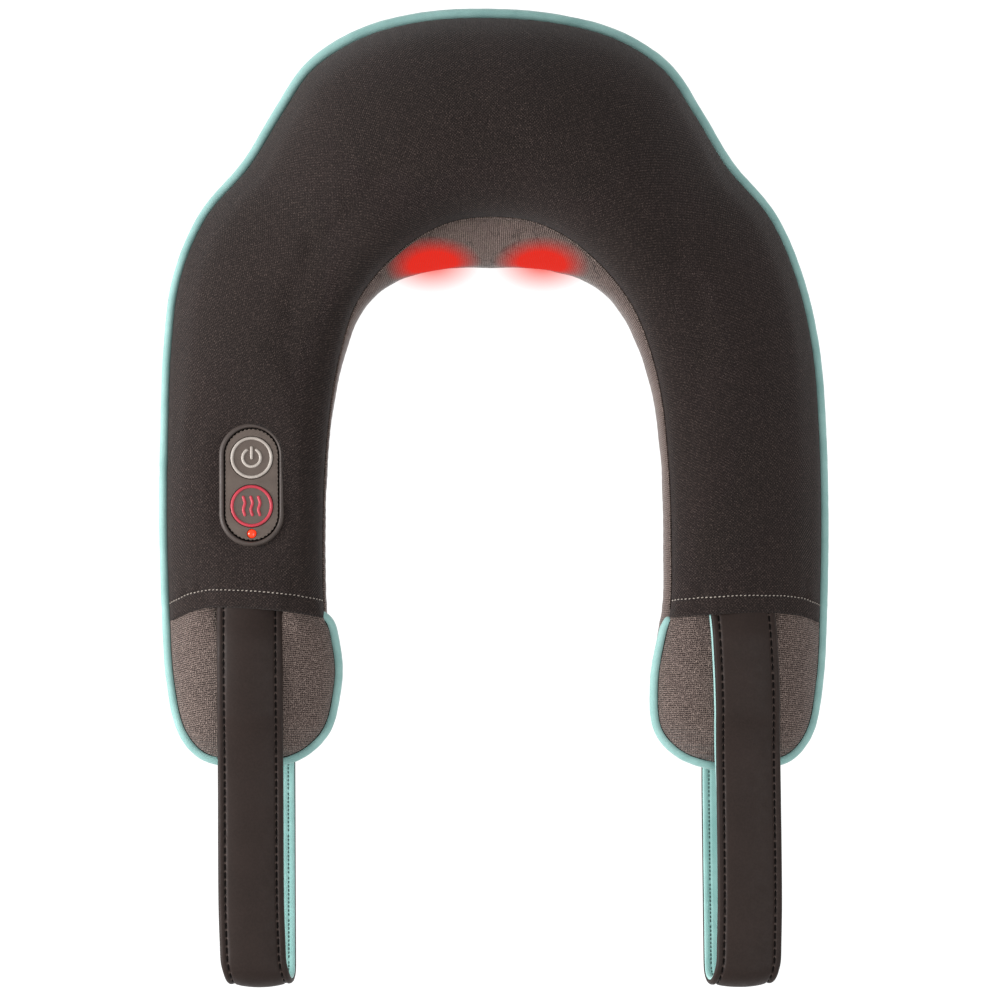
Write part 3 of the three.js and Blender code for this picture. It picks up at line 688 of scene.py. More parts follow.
def glow_patch(s, place, spots, outer, inner):
    """1 within inner metres of the spots and 0 beyond outer; each patch is wider than tall."""
    total = 0.0
    for spot in spots:
        gap = s.node("VectorMath", operation="SUBTRACT")
        squash = s.node("VectorMath", operation="MULTIPLY")
        away = s.node("VectorMath", operation="LENGTH")
        s.feed(gap.inputs[0], place)
        s.feed(gap.inputs[1], spot)
        s.feed(squash.inputs[0], gap.outputs[0])
        s.feed(squash.inputs[1], (1 / GLOW_WIDE, 1, 1))
        s.feed(away.inputs[0], squash.outputs[0])
        total = s.plus(s.ramp(away.outputs["Value"], outer, inner), total)
    return s.math("MINIMUM", total, 1.0)


def add_glow(s, place, rib):
    """Two soft red patches where the heated heads shine through the cloth."""
    patch = glow_patch(s, place, GLOW_AT, 0.0154, 0.0074)
    patch = s.times(patch, s.ramp(rib, 0.0, 1.0, 0.9, 1.0))
    glow = s.node("Emission")
    s.feed(glow.inputs[0], s.mix(patch, (190, 30, 24), (236, 46, 34)))
    s.feed(glow.inputs[1], 1.0)
    both = s.node("MixShader")
    s.feed(both.inputs[0], s.math("POWER", patch, 1.2))
    s.feed(both.inputs[1], s.shader.outputs[0])
    s.feed(both.inputs[2], glow.outputs[0])
    s.feed(s.tree.nodes["Material Output"].inputs[0], both.outputs[0])


def satin_cloth(name, dark, light, pitch=0.0008, gloss=1.0):
    s = Surface(name, 0.6, Specular_IOR_Level=0.5 * gloss, Sheen_Weight=0.3 * gloss)
    cloth, place = s.cloth(), s.place()
    x, y, _ = s.split(cloth)
    twill = s.ribs(s.plus(x, y), pitch)
    grain = s.noise(place, 0.0007, 1.0)
    height = s.plus(s.times(twill, 0.5), grain)
    tone = s.plus(s.times(s.cloud(place, 0.012), 0.5), s.times(height, 0.4))
    roughness = s.ramp(height, 0.2, 1.3, 0.75, 0.5)
    return s.finished(s.mix(tone, dark, light), roughness, height, 0.00012, 0.6)


def leatherette():
    s = Surface("leatherette", 0.55, Specular_IOR_Level=0.14)
    cloth, place = s.cloth(), s.place()
    x, y, _ = s.split(cloth)
    grain = s.cells(place, 0.0011)
    pores = s.noise(place, 0.0004, 2.0)
    height = s.plus(s.times(grain, 0.7), s.times(pores, 0.5))
    base = s.mix(s.cloud(place, 0.02), (38, 30, 27), (43, 34, 31))
    leather = s.mix(s.ramp(height, 0.2, 0.9, 0.0, 0.35), base, (55, 44, 40))
    stitch_x = (STRAP_W / 2 - STRAP_EDGE) * MM
    off = s.size(s.minus(s.size(y), stitch_x))
    # Painted highlight: lighter spots on each stitch line between the stitches, for the light caught
    # where the leather puffs up between them.
    seam = s.ramp(off, 0.0009, 0.0005)
    beat = s.ribs(s.minus(x, FIRST_GAP * MM), STITCH * MM)
    stitch_gap_highlight = s.times(seam, s.ramp(beat, 0.75, 0.95))
    roughness = s.ramp(s.noise(place, 0.004), 0.3, 0.7, 0.48, 0.6)
    return s.finished(s.mix(stitch_gap_highlight, leather, (74, 62, 57)), roughness, height, 0.00008, 0.5)


def moulded(name, dark, light, roughness=0.55, size=0.0006):
    """Plastic or rubber with a fine moulded grain."""
    s = Surface(name, roughness)
    place = s.place()
    grain = s.noise(place, size, 2.0)
    colour = s.mix(s.cloud(place, 0.006), dark, light)
    uneven = s.ramp(grain, 0.3, 0.7, roughness - 0.06, roughness + 0.08)
    return s.finished(colour, uneven, grain, 0.00004, 0.6)


def brushed(name, dark, light, roughness):
    s = Surface(name, roughness, 1.0)
    x, y, z = s.split(s.place())
    lines = s.node("CombineXYZ")
    for k, value in enumerate((s.times(x, 0.05), y, z)):
        s.feed(lines.inputs[k], value)
    streak = s.noise(lines.outputs[0], 0.0004, 3.0)
    uneven = s.ramp(streak, 0.2, 0.8, roughness - 0.08, roughness + 0.12)
    return s.finished(s.mix(streak, dark, light), uneven, streak, 0.00002, 0.5)


def lit(name, colour, edge, strength):
    """A lit lens of two mixed colours under a glossy coat."""
    s = Surface(name, 0.2, Coat_Weight=0.4)
    grain = s.noise(s.place(), 0.0015)
    s.set("Base Color", s.mix(grain, edge, colour))
    s.set("Emission Color", s.mix(grain, colour, edge))
    s.set("Emission Strength", strength)
    s.bump(grain, 0.00005, 0.3)
    return s.material


def foam_material():
    s = Surface("foam_cells", 0.95)
    place = s.place()
    holes = s.cells(place, 0.0013)
    cloud = s.noise(place, 0.02)
    base = s.mix(cloud, (222, 212, 186), (238, 231, 208))
    colour = s.mix(s.ramp(holes, 0.1, 0.5), (190, 178, 150), base)
    return s.finished(colour, s.ramp(holes, 0.0, 0.6, 0.98, 0.88), holes, 0.0003, 0.8)


def looks(maker, *rows):
    """Materials from rows of a name, two colours in screen levels and what else the maker takes."""
    return {row[0]: maker(*row) for row in rows}


LOOKS = {
    "knit_dark": knit_dark(),
    "ribbed_taupe": ribbed_taupe("ribbed_taupe", False),
    "glowing_taupe": ribbed_taupe("glowing_taupe", True),
    "strap_leatherette": leatherette(),
    "foam": foam_material(),
    **looks(
        satin_cloth,
        ("piping_aqua", (116, 160, 156), (150, 192, 187)),
        ("lining_aqua", (136, 184, 180), (168, 212, 207), 0.0011),
        ("hem_thread", (128, 116, 108), (196, 184, 172), 0.0004),
        ("dark_thread", (8, 6, 6), (18, 15, 14), 0.0004, 0.1),
        ("teal_thread", (34, 60, 57), (56, 90, 86), 0.0004),
    ),
    **looks(
        moulded,
        ("control_rubber", (62, 52, 48), (70, 60, 55)),
        ("control_plastic", (86, 74, 67), (93, 81, 73), 0.6),
        ("ring_grey", (166, 156, 148), (182, 173, 165), 0.4, 0.0004),
        ("ring_red", (178, 46, 62), (194, 58, 74), 0.45, 0.0004),
        ("housing_plastic", (38, 38, 40), (50, 50, 52), 0.6),
        ("board_green", (20, 88, 48), (34, 112, 62), 0.4, 0.002),
        ("wire_black", (22, 22, 23), (32, 32, 33), 0.5, 0.001),
        ("nylon_white", (226, 222, 210), (238, 235, 226), 0.45),
        ("node_plastic", (186, 34, 28), (206, 48, 38), 0.25),
    ),
    **looks(
        brushed,
        ("steel", (190, 193, 197), (214, 216, 219), 0.28),
        ("motor_steel", (160, 162, 165), (188, 190, 192), 0.38),
        ("bush_brass", (190, 150, 76), (214, 176, 98), 0.32),
    ),
    **looks(
        lit,
        ("lens_red", (255, 64, 20), (220, 24, 10), 1.1),
        ("heat_lamp", (255, 70, 30), (230, 30, 10), 2.0),
    ),
}


def dress_cad_nodes():
    """Every CAD node that stays gets the node material of its record slot."""
    slots = {p["node"]: p["material_slot"] for p in frame["record"]["subparts"]}
    for name, node in frame["nodes"].items():
        node.data.materials.clear()
        node.data.materials.append(LOOKS[slots[name]])


# ---------------------------------------------------------------- stuffing

PUFF_CAP = 2.2  # the most that the simulated stuffing may move the cloth
PUFF_VOXEL = 5.0
PUFF_PRESSURE = 4
PUFF_STEPS = 20
FOAM_VOXEL = 1.6


def simulated_puff():
    """Inflates the whole closed cushion by cloth simulation: points at rest and how they moved."""
    rows = np.linspace(-LAST, LAST, 161)[:, None]
    top = top_surface(rows, rounded(22))
    under = under_surface(rows, even(9), even(7)[:, 1:-1], even(5))
    ring = np.concatenate([top, under[:, ::-1][:, 1:-1]], 1)
    ends = [grid.mean(axis=0, keepdims=True).repeat(ring.shape[1], 0)[None] for grid in ring[[0, -1]]]
    rings = np.concatenate([ends[0], ring, ends[1]])
    pad = skinned("puff", rings)
    voxel_remesh(pad, PUFF_VOXEL)
    apply_modifiers(pad)
    rest = points_of(pad.data)
    cloth = pad.modifiers.new("stuffing", "CLOTH")
    cloth.settings.use_pressure = True
    cloth.settings.uniform_pressure_force = PUFF_PRESSURE
    cloth.settings.effector_weights.gravity = 0
    scene = bpy.context.scene
    for step in range(1, PUFF_STEPS + 1):
        scene.frame_set(step)
    moved = points_of(shaped(pad)) - rest
    scene.frame_set(1)
    bpy.data.objects.remove(pad)
    far = np.linalg.norm(moved, axis=1, keepdims=True)
    moved *= PUFF_CAP * np.tanh(far / PUFF_CAP) / np.maximum(far, 1e-6)
    return tree_of(rest), moved


PUFF = simulated_puff()


def stuffed(grid, hold, flip=1):
    """Swells a grid of cloth where the simulated stuffing swelled the cushion, less near 1 in hold."""
    if PUFF is None:
        return grid
    tree, moved = PUFF
    shift = np.zeros_like(grid)
    for spot in np.ndindex(grid.shape[:2]):
        near = tree.find_n(grid[spot], 6)
        weights = np.array([1 / (d + 2) for _, _, d in near])
        shift[spot] = weights @ moved[[i for _, i, _ in near]] / weights.sum()
    facing = normals(grid)
    swell = np.maximum((shift * facing).sum(-1) * flip, 0)
    return grid + facing * (flip * swell * (1 - hold))[..., None]


# ---------------------------------------------------------------- covers

HEM_SHARES = (0.0, 0.25, 0.45, 0.7, 0.85, 1.0)
HEM_EDGE_Y = {-1: (-59.4, -56.4, -54.8, -54.0, -55.6, -60.2),
              1: (-60.4, -59.2, -58.4, -58.6, -59.6, -63.0)}
HEM_BAND = 8.2  # from the hem's edge to its stitch line
HEM_Y = STATIONS[11, 1]  # near the hem, on the outer edge
ROW_STEP = 34.0  # about how far apart the stations are along an arm
HEM_ROWS = np.linspace(9, 13, 200)


def hem_row(sign, share, back=0.0):
    """The station of the point back millimetres from the hem's edge on one arm."""
    known = np.column_stack([HEM_SHARES, HEM_EDGE_Y[sign]])
    t = np.interp(share, known[:, 0], np.linspace(0, 1, len(known)))
    edge = catmull(known, t)[..., 1] + back
    s = section(sign * HEM_ROWS)
    columns = [np.interp(-edge[:, k], -s.seam[:, 1] * (1 - v) - s.outer[:, 1] * v, HEM_ROWS)
               for k, v in enumerate(share[0])]
    return np.stack(columns, -1)


def strap_line(sign, y):
    """How far the middle of a strap lies from the middle plane: the right one lies askew."""
    askew = np.clip((y + 150) / 100, 0, 1.03) ** 1.5
    return STRAP_X + 0.1 + 1.1 * sign - 2.1 * (1 + sign) * askew


def puckers(u, edge, pitch, seed):
    """Small gathers along a seam: u along it, edge the distance from it."""
    wander = ripple(u, 0 * u, 4 * pitch, seed)
    return np.sin(2 * np.pi * u / pitch + 2.5 * wander) * np.exp(-edge / (0.9 * pitch))


def control_gap(grid):
    """How far each point lies outside the control's outline, in plan."""
    width, length = CONTROL_SIZE
    x = np.abs(grid[..., 0] - CONTROL_AT[0])
    y = np.maximum(np.abs(grid[..., 1] - CONTROL_AT[1]) - (length - width) / 2, 0)
    return np.maximum(np.hypot(x, y) - width / 2, 0)


def cover_grid():
    """The dark cover's outer face, from the left hem to the right one."""
    share = rounded(64)
    fine = np.array([0, 0.5, 1.1, 1.9, 2.8, 3.9, 5.0, 5.9, 6.5, 7.0, 7.4, 7.8, HEM_BAND, 8.6, 9.0,
                     9.5, 10.2, 11.2, 12.5, 14.0, 15.6, 17.4, 19.4])[:, None]
    rows, backs = [], []
    for sign in (-1, 1):
        near = hem_row(sign, share, fine)
        rest = near[-1:] * np.linspace(1, 0, 150)[1:, None]
        rows.append(sign * np.concatenate([near, rest]))
        far = fine[-1] + (near[-1:] - rest) * ROW_STEP
        backs.append(np.concatenate([fine + 0 * share, far]))
    row = np.concatenate([rows[0], rows[1][-2::-1]])
    back = np.concatenate([backs[0], backs[1][-2::-1]])
    grid = top_surface(row, share)
    width = section(row).width
    edge_in = share * width
    edge_out = width - edge_in
    hold = 1 - smooth(np.minimum(edge_in, edge_out), 1, 16)
    gap = control_gap(grid)
    hold = np.maximum(hold, 1 - smooth(gap, 4, 30))
    grid = stuffed(grid, np.maximum(hold, 1 - smooth(back, 0, 30)))
    lift = 0.75 * smooth(back, -0.5, 1.2) * (1 - smooth(back, 7.4, 8.6)) + 0.15
    lift -= 0.75 * hump(back, HEM_BAND, 0.55)
    lift += 0.35 * hump(back, 11.5, 2.2)
    along = row * ROW_STEP
    lift += 0.28 * puckers(edge_in, np.abs(back - HEM_BAND - 1), 7, 3) * (back > HEM_BAND)
    lift += 0.22 * puckers(along, edge_in, 8, 5) + 0.3 * puckers(along, edge_out, 9, 6)
    lift += 0.25 * ripple(along, edge_in, 70, 7) - 1.1 * (1 - smooth(gap, 0, 9))
    off = np.abs(np.abs(grid[..., 0]) - strap_line(np.sign(grid[..., 0]), grid[..., 1]))
    lift += 1.1 * (1 - smooth(off, 14, 22)) * (1 - smooth(back, 4, 26))
    edges = smooth(np.minimum(edge_in, edge_out), 0.0, 3.0)
    return raised(grid, lift * (0.15 + 0.85 * edges))


def stadium_outline(width, length, steps=16):
    """Round-ended outline: points on its spine and the directions out from it."""
    reach = (length - width) / 2
    bend = np.linspace(0, np.pi, steps + 1)
    run = np.arange(1, 12) / 12
    turn = np.concatenate([bend, np.pi + 0 * run, np.pi + bend, 0 * run])
    y = reach * np.concatenate([1 + 0 * bend, 1 - 2 * run, -1 + 0 * bend, 2 * run - 1])
    return np.column_stack([0 * y, y]), np.column_stack([np.cos(turn), np.sin(turn)])


def stadium_prism(name, width, length, depth, at):
    """A closed round-ended block, reaching depth above and below its place, used to cut with."""
    spine, out = stadium_outline(width, length)
    edge = spine + out * width / 2
    rings = [(spine * 0.98, -depth), (edge, -depth), (edge, depth), (spine * 0.98, depth)]
    points = np.stack([np.column_stack([flat, 0 * flat[:, 0] + z]) for flat, z in rings])
    prism = skinned(name, points + np.array(at))
    fill_holes(prism)
    return prism


def fill_holes(piece):
    bm = bmesh.new()
    bm.from_mesh(piece.data)
    bmesh.ops.holes_fill(bm, edges=[e for e in bm.edges if e.is_boundary], sides=0)
    bmesh.ops.recalc_face_normals(bm, faces=bm.faces)
    bm.to_mesh(piece.data)
    bm.free()


COVER_GRID = cover_grid()


def make_outer_cover():
    cover = shell("knit_cover", COVER_GRID, COVER)
    width, length = CONTROL_SIZE
    carve(cover, stadium_prism("opening", width - 2.4, length - 2.4, 12, CONTROL_AT))
    finish_piece(cover, "knit_dark", replaces=["outer_cover"])


def make_hem_stitches():
    """The light thread along each hem, as separate stitches."""
    for side, rows in (("left", (11, 12, 13)), ("right", (-12, -13, -14))):
        lines = [COVER_GRID[k] for k in rows]
        line = lines[1]
        along = np.gradient(line, axis=0)
        up = unit(np.cross(along, lines[2] - lines[0]))
        up *= np.sign(up[:, 2:])
        far = distances(line)
        stops = np.arange(3, far[-1] - 2, 2.15)
        spots, along, up = (sampled(values, far, stops) for values in (line, along, up))
        rng = np.random.default_rng(11)
        turn = 0.2 + rng.uniform(-0.2, 0.2, (len(stops), 1))
        lay = unit(along) + turn * np.cross(unit(up), unit(along))
        centres = spots + up * (0.22 + 0.12 * rng.uniform(size=(len(stops), 1)))
        stitches = dashes(f"hem_stitches_{side}", centres, lay, up, 1.2, 0.31)
        finish_piece(stitches, "hem_thread")


def make_inner_cover():
    """The ribbed wall round the neck, the flat underside and the outer side."""
    rows = np.linspace(-LAST, LAST, 420)[:, None]
    grid = under_surface(rows, even(40), even(16)[:, 1:-1], even(12))
    count = grid.shape[1]
    spread = np.linspace(0, 1, count)[None, :]
    wall = 1 - smooth(spread, 0.5, 0.62) + 0 * rows
    above = grid[..., 2]
    top = section(rows).seam[..., 2]
    hold = 1 - smooth(top - above, 2, 14) * wall
    grid = stuffed(grid, np.maximum(hold, 1 - smooth(above, 4, 16)), -1)
    along = rows * ROW_STEP
    lift = 0.3 * puckers(along, np.maximum(top - above, 0), 7, 21) * wall
    lift += 0.15 * ripple(along, above, 34, 22) * wall * smooth(top - above, 2, 9)
    crease = ripple(along, 3 * above, 40, 23)
    lift -= 0.3 * hump(crease, 0.15, 0.12) * wall * smooth(above, 40, 47)
    grid = raised(grid, lift * smooth(above, 1, 8), -1)
    grid[..., 2] = np.maximum(grid[..., 2], 0)
    cover = shell("ribbed_cover", grid, 1.3, flip=-1)
    turn = Matrix.Rotation(math.pi / 2, 4, "Y")
    hole = round_bar("inlet_hole", JACK_R + 2.4, 24)
    hole.data.transform(Matrix.Translation(Vector(JACK_AT) * MM) @ turn)
    carve(cover, hole)
    finish_piece(cover, "glowing_taupe", replaces=["inner_cover"])


def make_seam_fold():
    """The folded edge of the ribbed cloth, standing just proud of the seam round the neck."""
    rows = np.arange(-HEM + 0.15, HEM - 0.1, 0.05)
    s = section(rows)
    path = place(s, -0.55, s.seam[..., 2] - 0.1)
    fold = tube("seam_fold", path, 0.62 + 0.08 * ripple(rows * ROW_STEP, 0 * rows, 6, 51), 8)
    finish_piece(fold, "ribbed_taupe")


def round_bar(name, radius, length):
    """A closed bar about Z, centred at the origin."""
    half = length / 2
    return turned(name, [(0, -half), (radius, -half), (radius, half), (0, half)], (0, 0, 0), 32)


def pocket_depth(grid):
    """How far a strap presses the arm's end down, and the folds beside it at the hem."""
    y = grid[..., 1]
    off = np.abs(np.abs(grid[..., 0]) - strap_line(np.sign(grid[..., 0]), y))
    under = strap_settle(y) - LINING - 0.3
    press = np.maximum(-under, 0) * (1 - smooth(off, 14, 20))
    fold = hump(off, 20, 3.0) * np.exp(-np.maximum(HEM_Y - y, 0) / 14)
    return press + 1.1 * fold


POCKET_GRIDS = {}  # the outer face of each arm's end, along which the dark cord of painted shade lies by the piping


def make_pockets():
    """The taupe cloth over each arm's end, from under the hem."""
    for side, sign in SIDES:
        share = rounded(56)
        start = hem_row(sign, share, 6.0)
        steps = np.concatenate([np.linspace(0, 0.9, 74), 1 - 0.1 * np.linspace(1, 0, 20)[1:] ** 1.5])
        row = start + (LAST - start) * steps[:, None]
        grid = top_surface(sign * row, share)
        width = section(sign * row).width
        edge_in = share * width
        edge_out = width - edge_in
        past = (row - start) * ROW_STEP
        edge = np.minimum(np.minimum(edge_in, edge_out), (LAST - row) * 12)
        off = np.abs(np.abs(grid[..., 0]) - strap_line(sign, grid[..., 1]))
        free = smooth(edge, 1, 14) * smooth(past, 4, 20) * smooth(off, 17, 26)
        grid = stuffed(grid, 1 - free)
        lift = -1.7 * (1 - smooth(past, 4, 13)) - pocket_depth(grid)
        along = row * ROW_STEP
        lift += 0.3 * puckers(along, edge_out, 8, 31) + 0.25 * puckers(along, edge_in, 8, 32)
        lift += 0.35 * ripple(along, edge_in, 30, 33 + sign)
        grid = raised(grid, lift * smooth(edge, 0, 3), sign)
        POCKET_GRIDS[sign] = grid
        pocket = shell(f"arm_end_{side}", grid, 1.3, flip=sign)
        finish_piece(pocket, "ribbed_taupe", replaces=[f"end_pocket_{side}"])


def make_piping():
    """Round piping from under one hem to the other, along the cushion's edges."""
    inner = np.arange(HEM - 0.14, LAST, 0.06)
    right = np.arange(HEM + 0.02, LAST, 0.06)
    rows = np.arange(-LAST, LAST + 0.01, 0.06)
    left = section(-inner).seam
    path = np.concatenate([left, section(rows).outer, section(right[::-1]).seam])
    fuller = np.concatenate([0 * inner, 1 - smooth(np.abs(rows), 2, 7), 0 * right])
    keep = np.concatenate([[True], np.diff(distances(path)) > 0.3])
    path, fuller = path[keep], fuller[keep]
    far = distances(path)
    out = PIPING_OUT + 0.8 * fuller - 4.5 * (1 - smooth(far, 0, 5))
    out -= 1.5 * (1 - smooth(far[-1] - far, 0, 4))
    path = path + out[:, None] * leftward(path)
    far = distances(path)
    stops = np.arange(0, far[-1], 1.2)
    path = eased(sampled(path, far, stops), 4)
    radius = PIPING_R + 0.55 * np.interp(stops, far, fuller)
    radius += 0.06 * ripple(stops, 0 * stops, 9, 41) + 0.05 * ripple(stops, 0 * stops, 4, 42)
    piping = tube("piping", path, radius, 20)
    finish_piece(piping, "piping_aqua", replaces=["edge_piping"])
    make_pocket_shadow_lines(path)


def make_pocket_shadow_lines(path):
    """A dark cord of painted shade in the crease between the piping and each arm's end, laid where that
    crease's shadow falls.
    """
    aims = path - leftward(path) * (PIPING_R + 0.1) + (0, 0, 1.4)
    for side, sign in SIDES:
        tree = tree_of(POCKET_GRIDS[sign].reshape(-1, 3))
        line = []
        for aim in aims[(aims[:, 0] * sign > 0) & (aims[:, 1] < -58)]:
            near = tree.find_n(aim, 4)
            if near[0][2] < 2:
                line.append(np.mean([co for co, _, _ in near], axis=0))
        # painted shade: a thin dark cord stands in for the shadow in the crease by the piping
        thread = tube(f"pocket_shadow_line_{side}", eased(np.array(line), 6), THREAD_R, 8)
        finish_piece(thread, "dark_thread")


def make_foams():
    """Foam with softened corners and open cells, from the CAD solids' own shape."""
    for node in ("neck_foam", "arm_foam_left", "arm_foam_right"):
        piece = added("soft_" + node, frame["nodes"][node].data.copy())
        voxel_remesh(piece, FOAM_VOXEL)
        ease = piece.modifiers.new("ease", "SMOOTH")
        ease.iterations = 3
        apply_modifiers(piece)
        piece.data.shade_smooth()
        settle_foam(piece)
        finish_piece(piece, "foam", replaces=[node])


def settle_foam(piece):
    """Moves the foam with the covers, a little inside them, and down under a pressing strap."""
    points = points_of(piece.data)
    points -= 0.8 * np.array([v.normal for v in piece.data.vertices], float)
    depth = (pocket_depth(points) + 2.2) * (1 - smooth(points[:, 1], -58, -34))
    points[:, 2] -= depth * smooth(points[:, 2], 6, 22)
    points = settled(points)
    piece.data.vertices.foreach_set("co", (points * MM).astype(np.float32).ravel())


# ---------------------------------------------------------------- hand straps

STRAP_ROOT = (-47, -50, -53, -56, -59, -62, -66, -71, -78, -86, -94, -102, -108)  # y, on the arm
# y, z and share of the inward shift, down from the arm's end, out to the fold and back under the arm
STRAP_OUT = (
    (-115, 30.9, 0), (-122, 28.3, 0), (-130, 25.9, 0), (FOLD_Y - 1, 24.3, 0), (-150, 23.2, 0),
    (-175, 23.2, 0), (-205, 22.8, 0.03), (-222, 22.5, 0.12),
)
STRAP_TURN = (-232.75, 13.5, 9.0)  # the fold at the far end: y, z and radius
STRAP_BACK = ((-218, 4.4, 1), (-205, 4.4, 1), (-170, 4.4, 1), (-145, 4.8, 1), (-129.5, 6.2, 1))


def strap_rest(y):
    """The height of the band's inner face where it lies on the arm's end."""
    rows = np.linspace(HEM - 1.2, LAST - 0.6, 200)[:, None]
    share = 0 * rows + 0.51
    line = top_surface(rows, share)[:, 0]
    return np.interp(-y, -line[:, 1], line[:, 2])


def strap_settle(y):
    """How far the band's inner face stands above the arm's end: it dives under the hem."""
    return 1.35 - 5.2 * (1 - smooth(-y, 51, 74))


def strap_path(sign):
    """The band's inner face: y, z and inward shift, every millimetre from end to end."""
    points = [(y, strap_rest(y) + strap_settle(y), 0) for y in STRAP_ROOT]
    points += list(STRAP_OUT)
    y, z, r = STRAP_TURN
    for k in range(9):
        turn = math.pi * (0.5 + k / 8)
        points.append((y + r * math.cos(turn), z + r * math.sin(turn), float(smooth(k, -3, 7))))
    points += list(STRAP_BACK)
    points = np.array(points, float)
    points[:, 0] += STRAP_SHORTER[sign] * smooth(-points[:, 0], 150, 222)
    line = catmull(points, np.linspace(0, 1, 4000))
    far = distances(line[:, :2])
    return sampled(line, far, np.arange(0, far[-1], 1.0))


STRAP_PATHS = {sign: strap_path(sign) for _, sign in SIDES}


def band_height(x):
    """The band's outer face: rounded edges, a stitched groove inside each and a puffed middle."""
    edge = STRAP_W / 2 - np.abs(x)
    corner = np.sqrt(np.maximum(1 - (1 - np.clip(edge / 1.4, 0, 1)) ** 2, 0))
    height = BAND * (0.25 + 0.75 * corner) + 0.3 * hump(edge, 2.1, 1.1)
    height = height - 0.7 * hump(edge, STRAP_EDGE, 0.6)
    across = np.clip(np.abs(x) / (STRAP_W / 2 - STRAP_EDGE), 0, 1)
    return height + 1.7 * (1 - across**2) ** 0.75


def lining_depth(x):
    """The lining's inner face, below the band: slightly puffed, pulled in at its stitches."""
    edge = STRAP_W / 2 - np.abs(x)
    return LINING * (0.75 + 0.25 * smooth(edge, 0.3, 1.5)) - 0.45 * hump(edge, STRAP_EDGE, 0.5)


def strap_frame(sign):
    """Points on the band's inner face, with the direction outward from the loop."""
    path = STRAP_PATHS[sign]
    y, z, shift = path.T
    line = np.where(shift > 0.9, STRAP_X + 0.1 + 1.1 * sign, strap_line(sign, y))
    centre = np.stack([sign * (line - shift * STRAP_SHIFT[sign]), y, z], -1)
    along = unit(np.gradient(path[:, :2], axis=0))
    out = np.stack([0 * y, along[:, 1], -along[:, 0]], -1)
    return centre, out, np.stack([0 * y, along[:, 0], along[:, 1]], -1)


def sag(x, y, sign):
    """How far the strap's edges bend down over the arm; the right strap's inner edge stays up."""
    bend = (0.4 + 1.1 * smooth(y, -136, -112)) * (2 * x / STRAP_W) ** 2
    return np.where((sign > 0) & (x < 0), -0.3 * bend, bend)


def swept(name, sign, profile, aside=0.0):
    """A body with an [x, height] outline swept along the strap, moved aside over the arm."""
    centre, out, _ = strap_frame(sign)
    centre[:, 0] += aside * smooth(centre[:, 1], -165, -120) * (out[:, 2] > 0)
    x, h = np.array(profile, float).T
    drop = sag(x[None, :], centre[:, 1:2], sign)
    points = centre[:, None] + np.column_stack([x, 0 * x, 0 * x])
    points = points + (h[None, :] - drop)[..., None] * out[:, None]
    tips = [points[[k]] * 0 + points[k].mean(axis=0) for k in (0, -1)]
    rings = np.concatenate([tips[0], points, tips[1]])
    far = np.clip(np.arange(-1, len(centre) + 1), 0, len(centre) - 1)[:, None]
    cloth = np.stack([far + 0 * x, x + 0 * far, 0 * (far + x)], -1)
    return skinned(name, rings, cloth)


def band_profile():
    x = np.linspace(-1, 1, 61)
    x = STRAP_W / 2 * np.sign(x) * (1 - (1 - np.abs(x)) ** 1.25)
    top = [(v, float(band_height(v))) for v in x]
    low = [(x[-1] - 0.1, 0.25), (x[-1] - 0.5, 0.02)]
    return top + low + [(0, 0.02)] + [(-v, h) for v, h in low[::-1]]


def lining_profile():
    half = (STRAP_W - 1) / 2
    x = np.linspace(-half, half, 41)
    return [(v, -float(lining_depth(v))) for v in x] + [(half, -0.12), (0, -0.12), (-half, -0.12)]


def strap_stitches(name, sign, depth, inside):
    """Two rows of stitches along the strap, on the band or, inside, on the lining."""
    centre, out, along = strap_frame(sign)
    stops = np.arange(3, len(centre) - 2, FINE_STITCH if inside else STITCH)
    i = stops.astype(int)
    centres = []
    for x in (STRAP_EDGE - STRAP_W / 2, STRAP_W / 2 - STRAP_EDGE):
        face = -float(lining_depth(x)) if inside else float(band_height(x))
        drop = sag(x, centre[i, 1], sign)[:, None]
        centres.append(centre[i] + (x, 0, 0) + out[i] * (face + depth - drop))
    parts = [np.concatenate(p) for p in (centres, [along[i]] * 2, [out[i]] * 2)]
    return dashes(name, *parts, 1.5 if inside else 3.3, 0.42 if inside else 0.6)


def blend_strap(piece, look, replaces=()):
    """Finishes a strap's piece with its material, on no body, and bakes its place into its mesh."""
    finish_piece(piece, look, None, replaces)
    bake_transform(piece)


def make_straps():
    for side, sign in SIDES:
        band = swept(f"hand_strap_{side}", sign, band_profile())
        blend_strap(band, "strap_leatherette",
                    replaces=[f"strap_root_{side}", f"strap_loop_{side}"])
        aside = -1.15 if side == "right" else 0
        lining = swept(f"strap_lining_{side}", sign, lining_profile(), aside)
        blend_strap(lining, "lining_aqua",
                    replaces=[f"strap_root_lining_{side}", f"strap_loop_lining_{side}"])
        outside = strap_stitches(f"strap_stitches_{side}", sign, 0.12, False)
        blend_strap(outside, "dark_thread")
        inside = strap_stitches(f"lining_stitches_{side}", sign, -0.1, True)
        blend_strap(inside, "teal_thread")


# ---------------------------------------------------------------- control

CONTROL = np.array(CONTROL_AT, float)
# height across the rim, from its outer edge inward: [inset, height]
RIM_PROFILE = (
    (0.0, -3.0), (0.0, -0.6), (0.08, 0.1), (0.3, 0.85), (0.7, 1.4), (1.25, 1.72), (1.8, 1.7),
    (2.15, 1.42), (2.35, 0.95), (2.42, 0.0), (2.5, -0.9), (RIM + 0.4, -0.9), (RIM + 0.4, -3.0),
)


def at_height(flat, z):
    """Points in plan, at a height from the control's place."""
    return np.column_stack([flat, 0 * flat[:, 0] + z]) + CONTROL


def outline_sweep(name, width, length, profile):
    """A ring round a stadium from [inset, height] points."""
    spine, out = stadium_outline(width, length, 24)
    points = np.stack([at_height(spine + out * (width / 2 - inset), z) for inset, z in profile], 1)
    return skinned(name, points, closed=True)


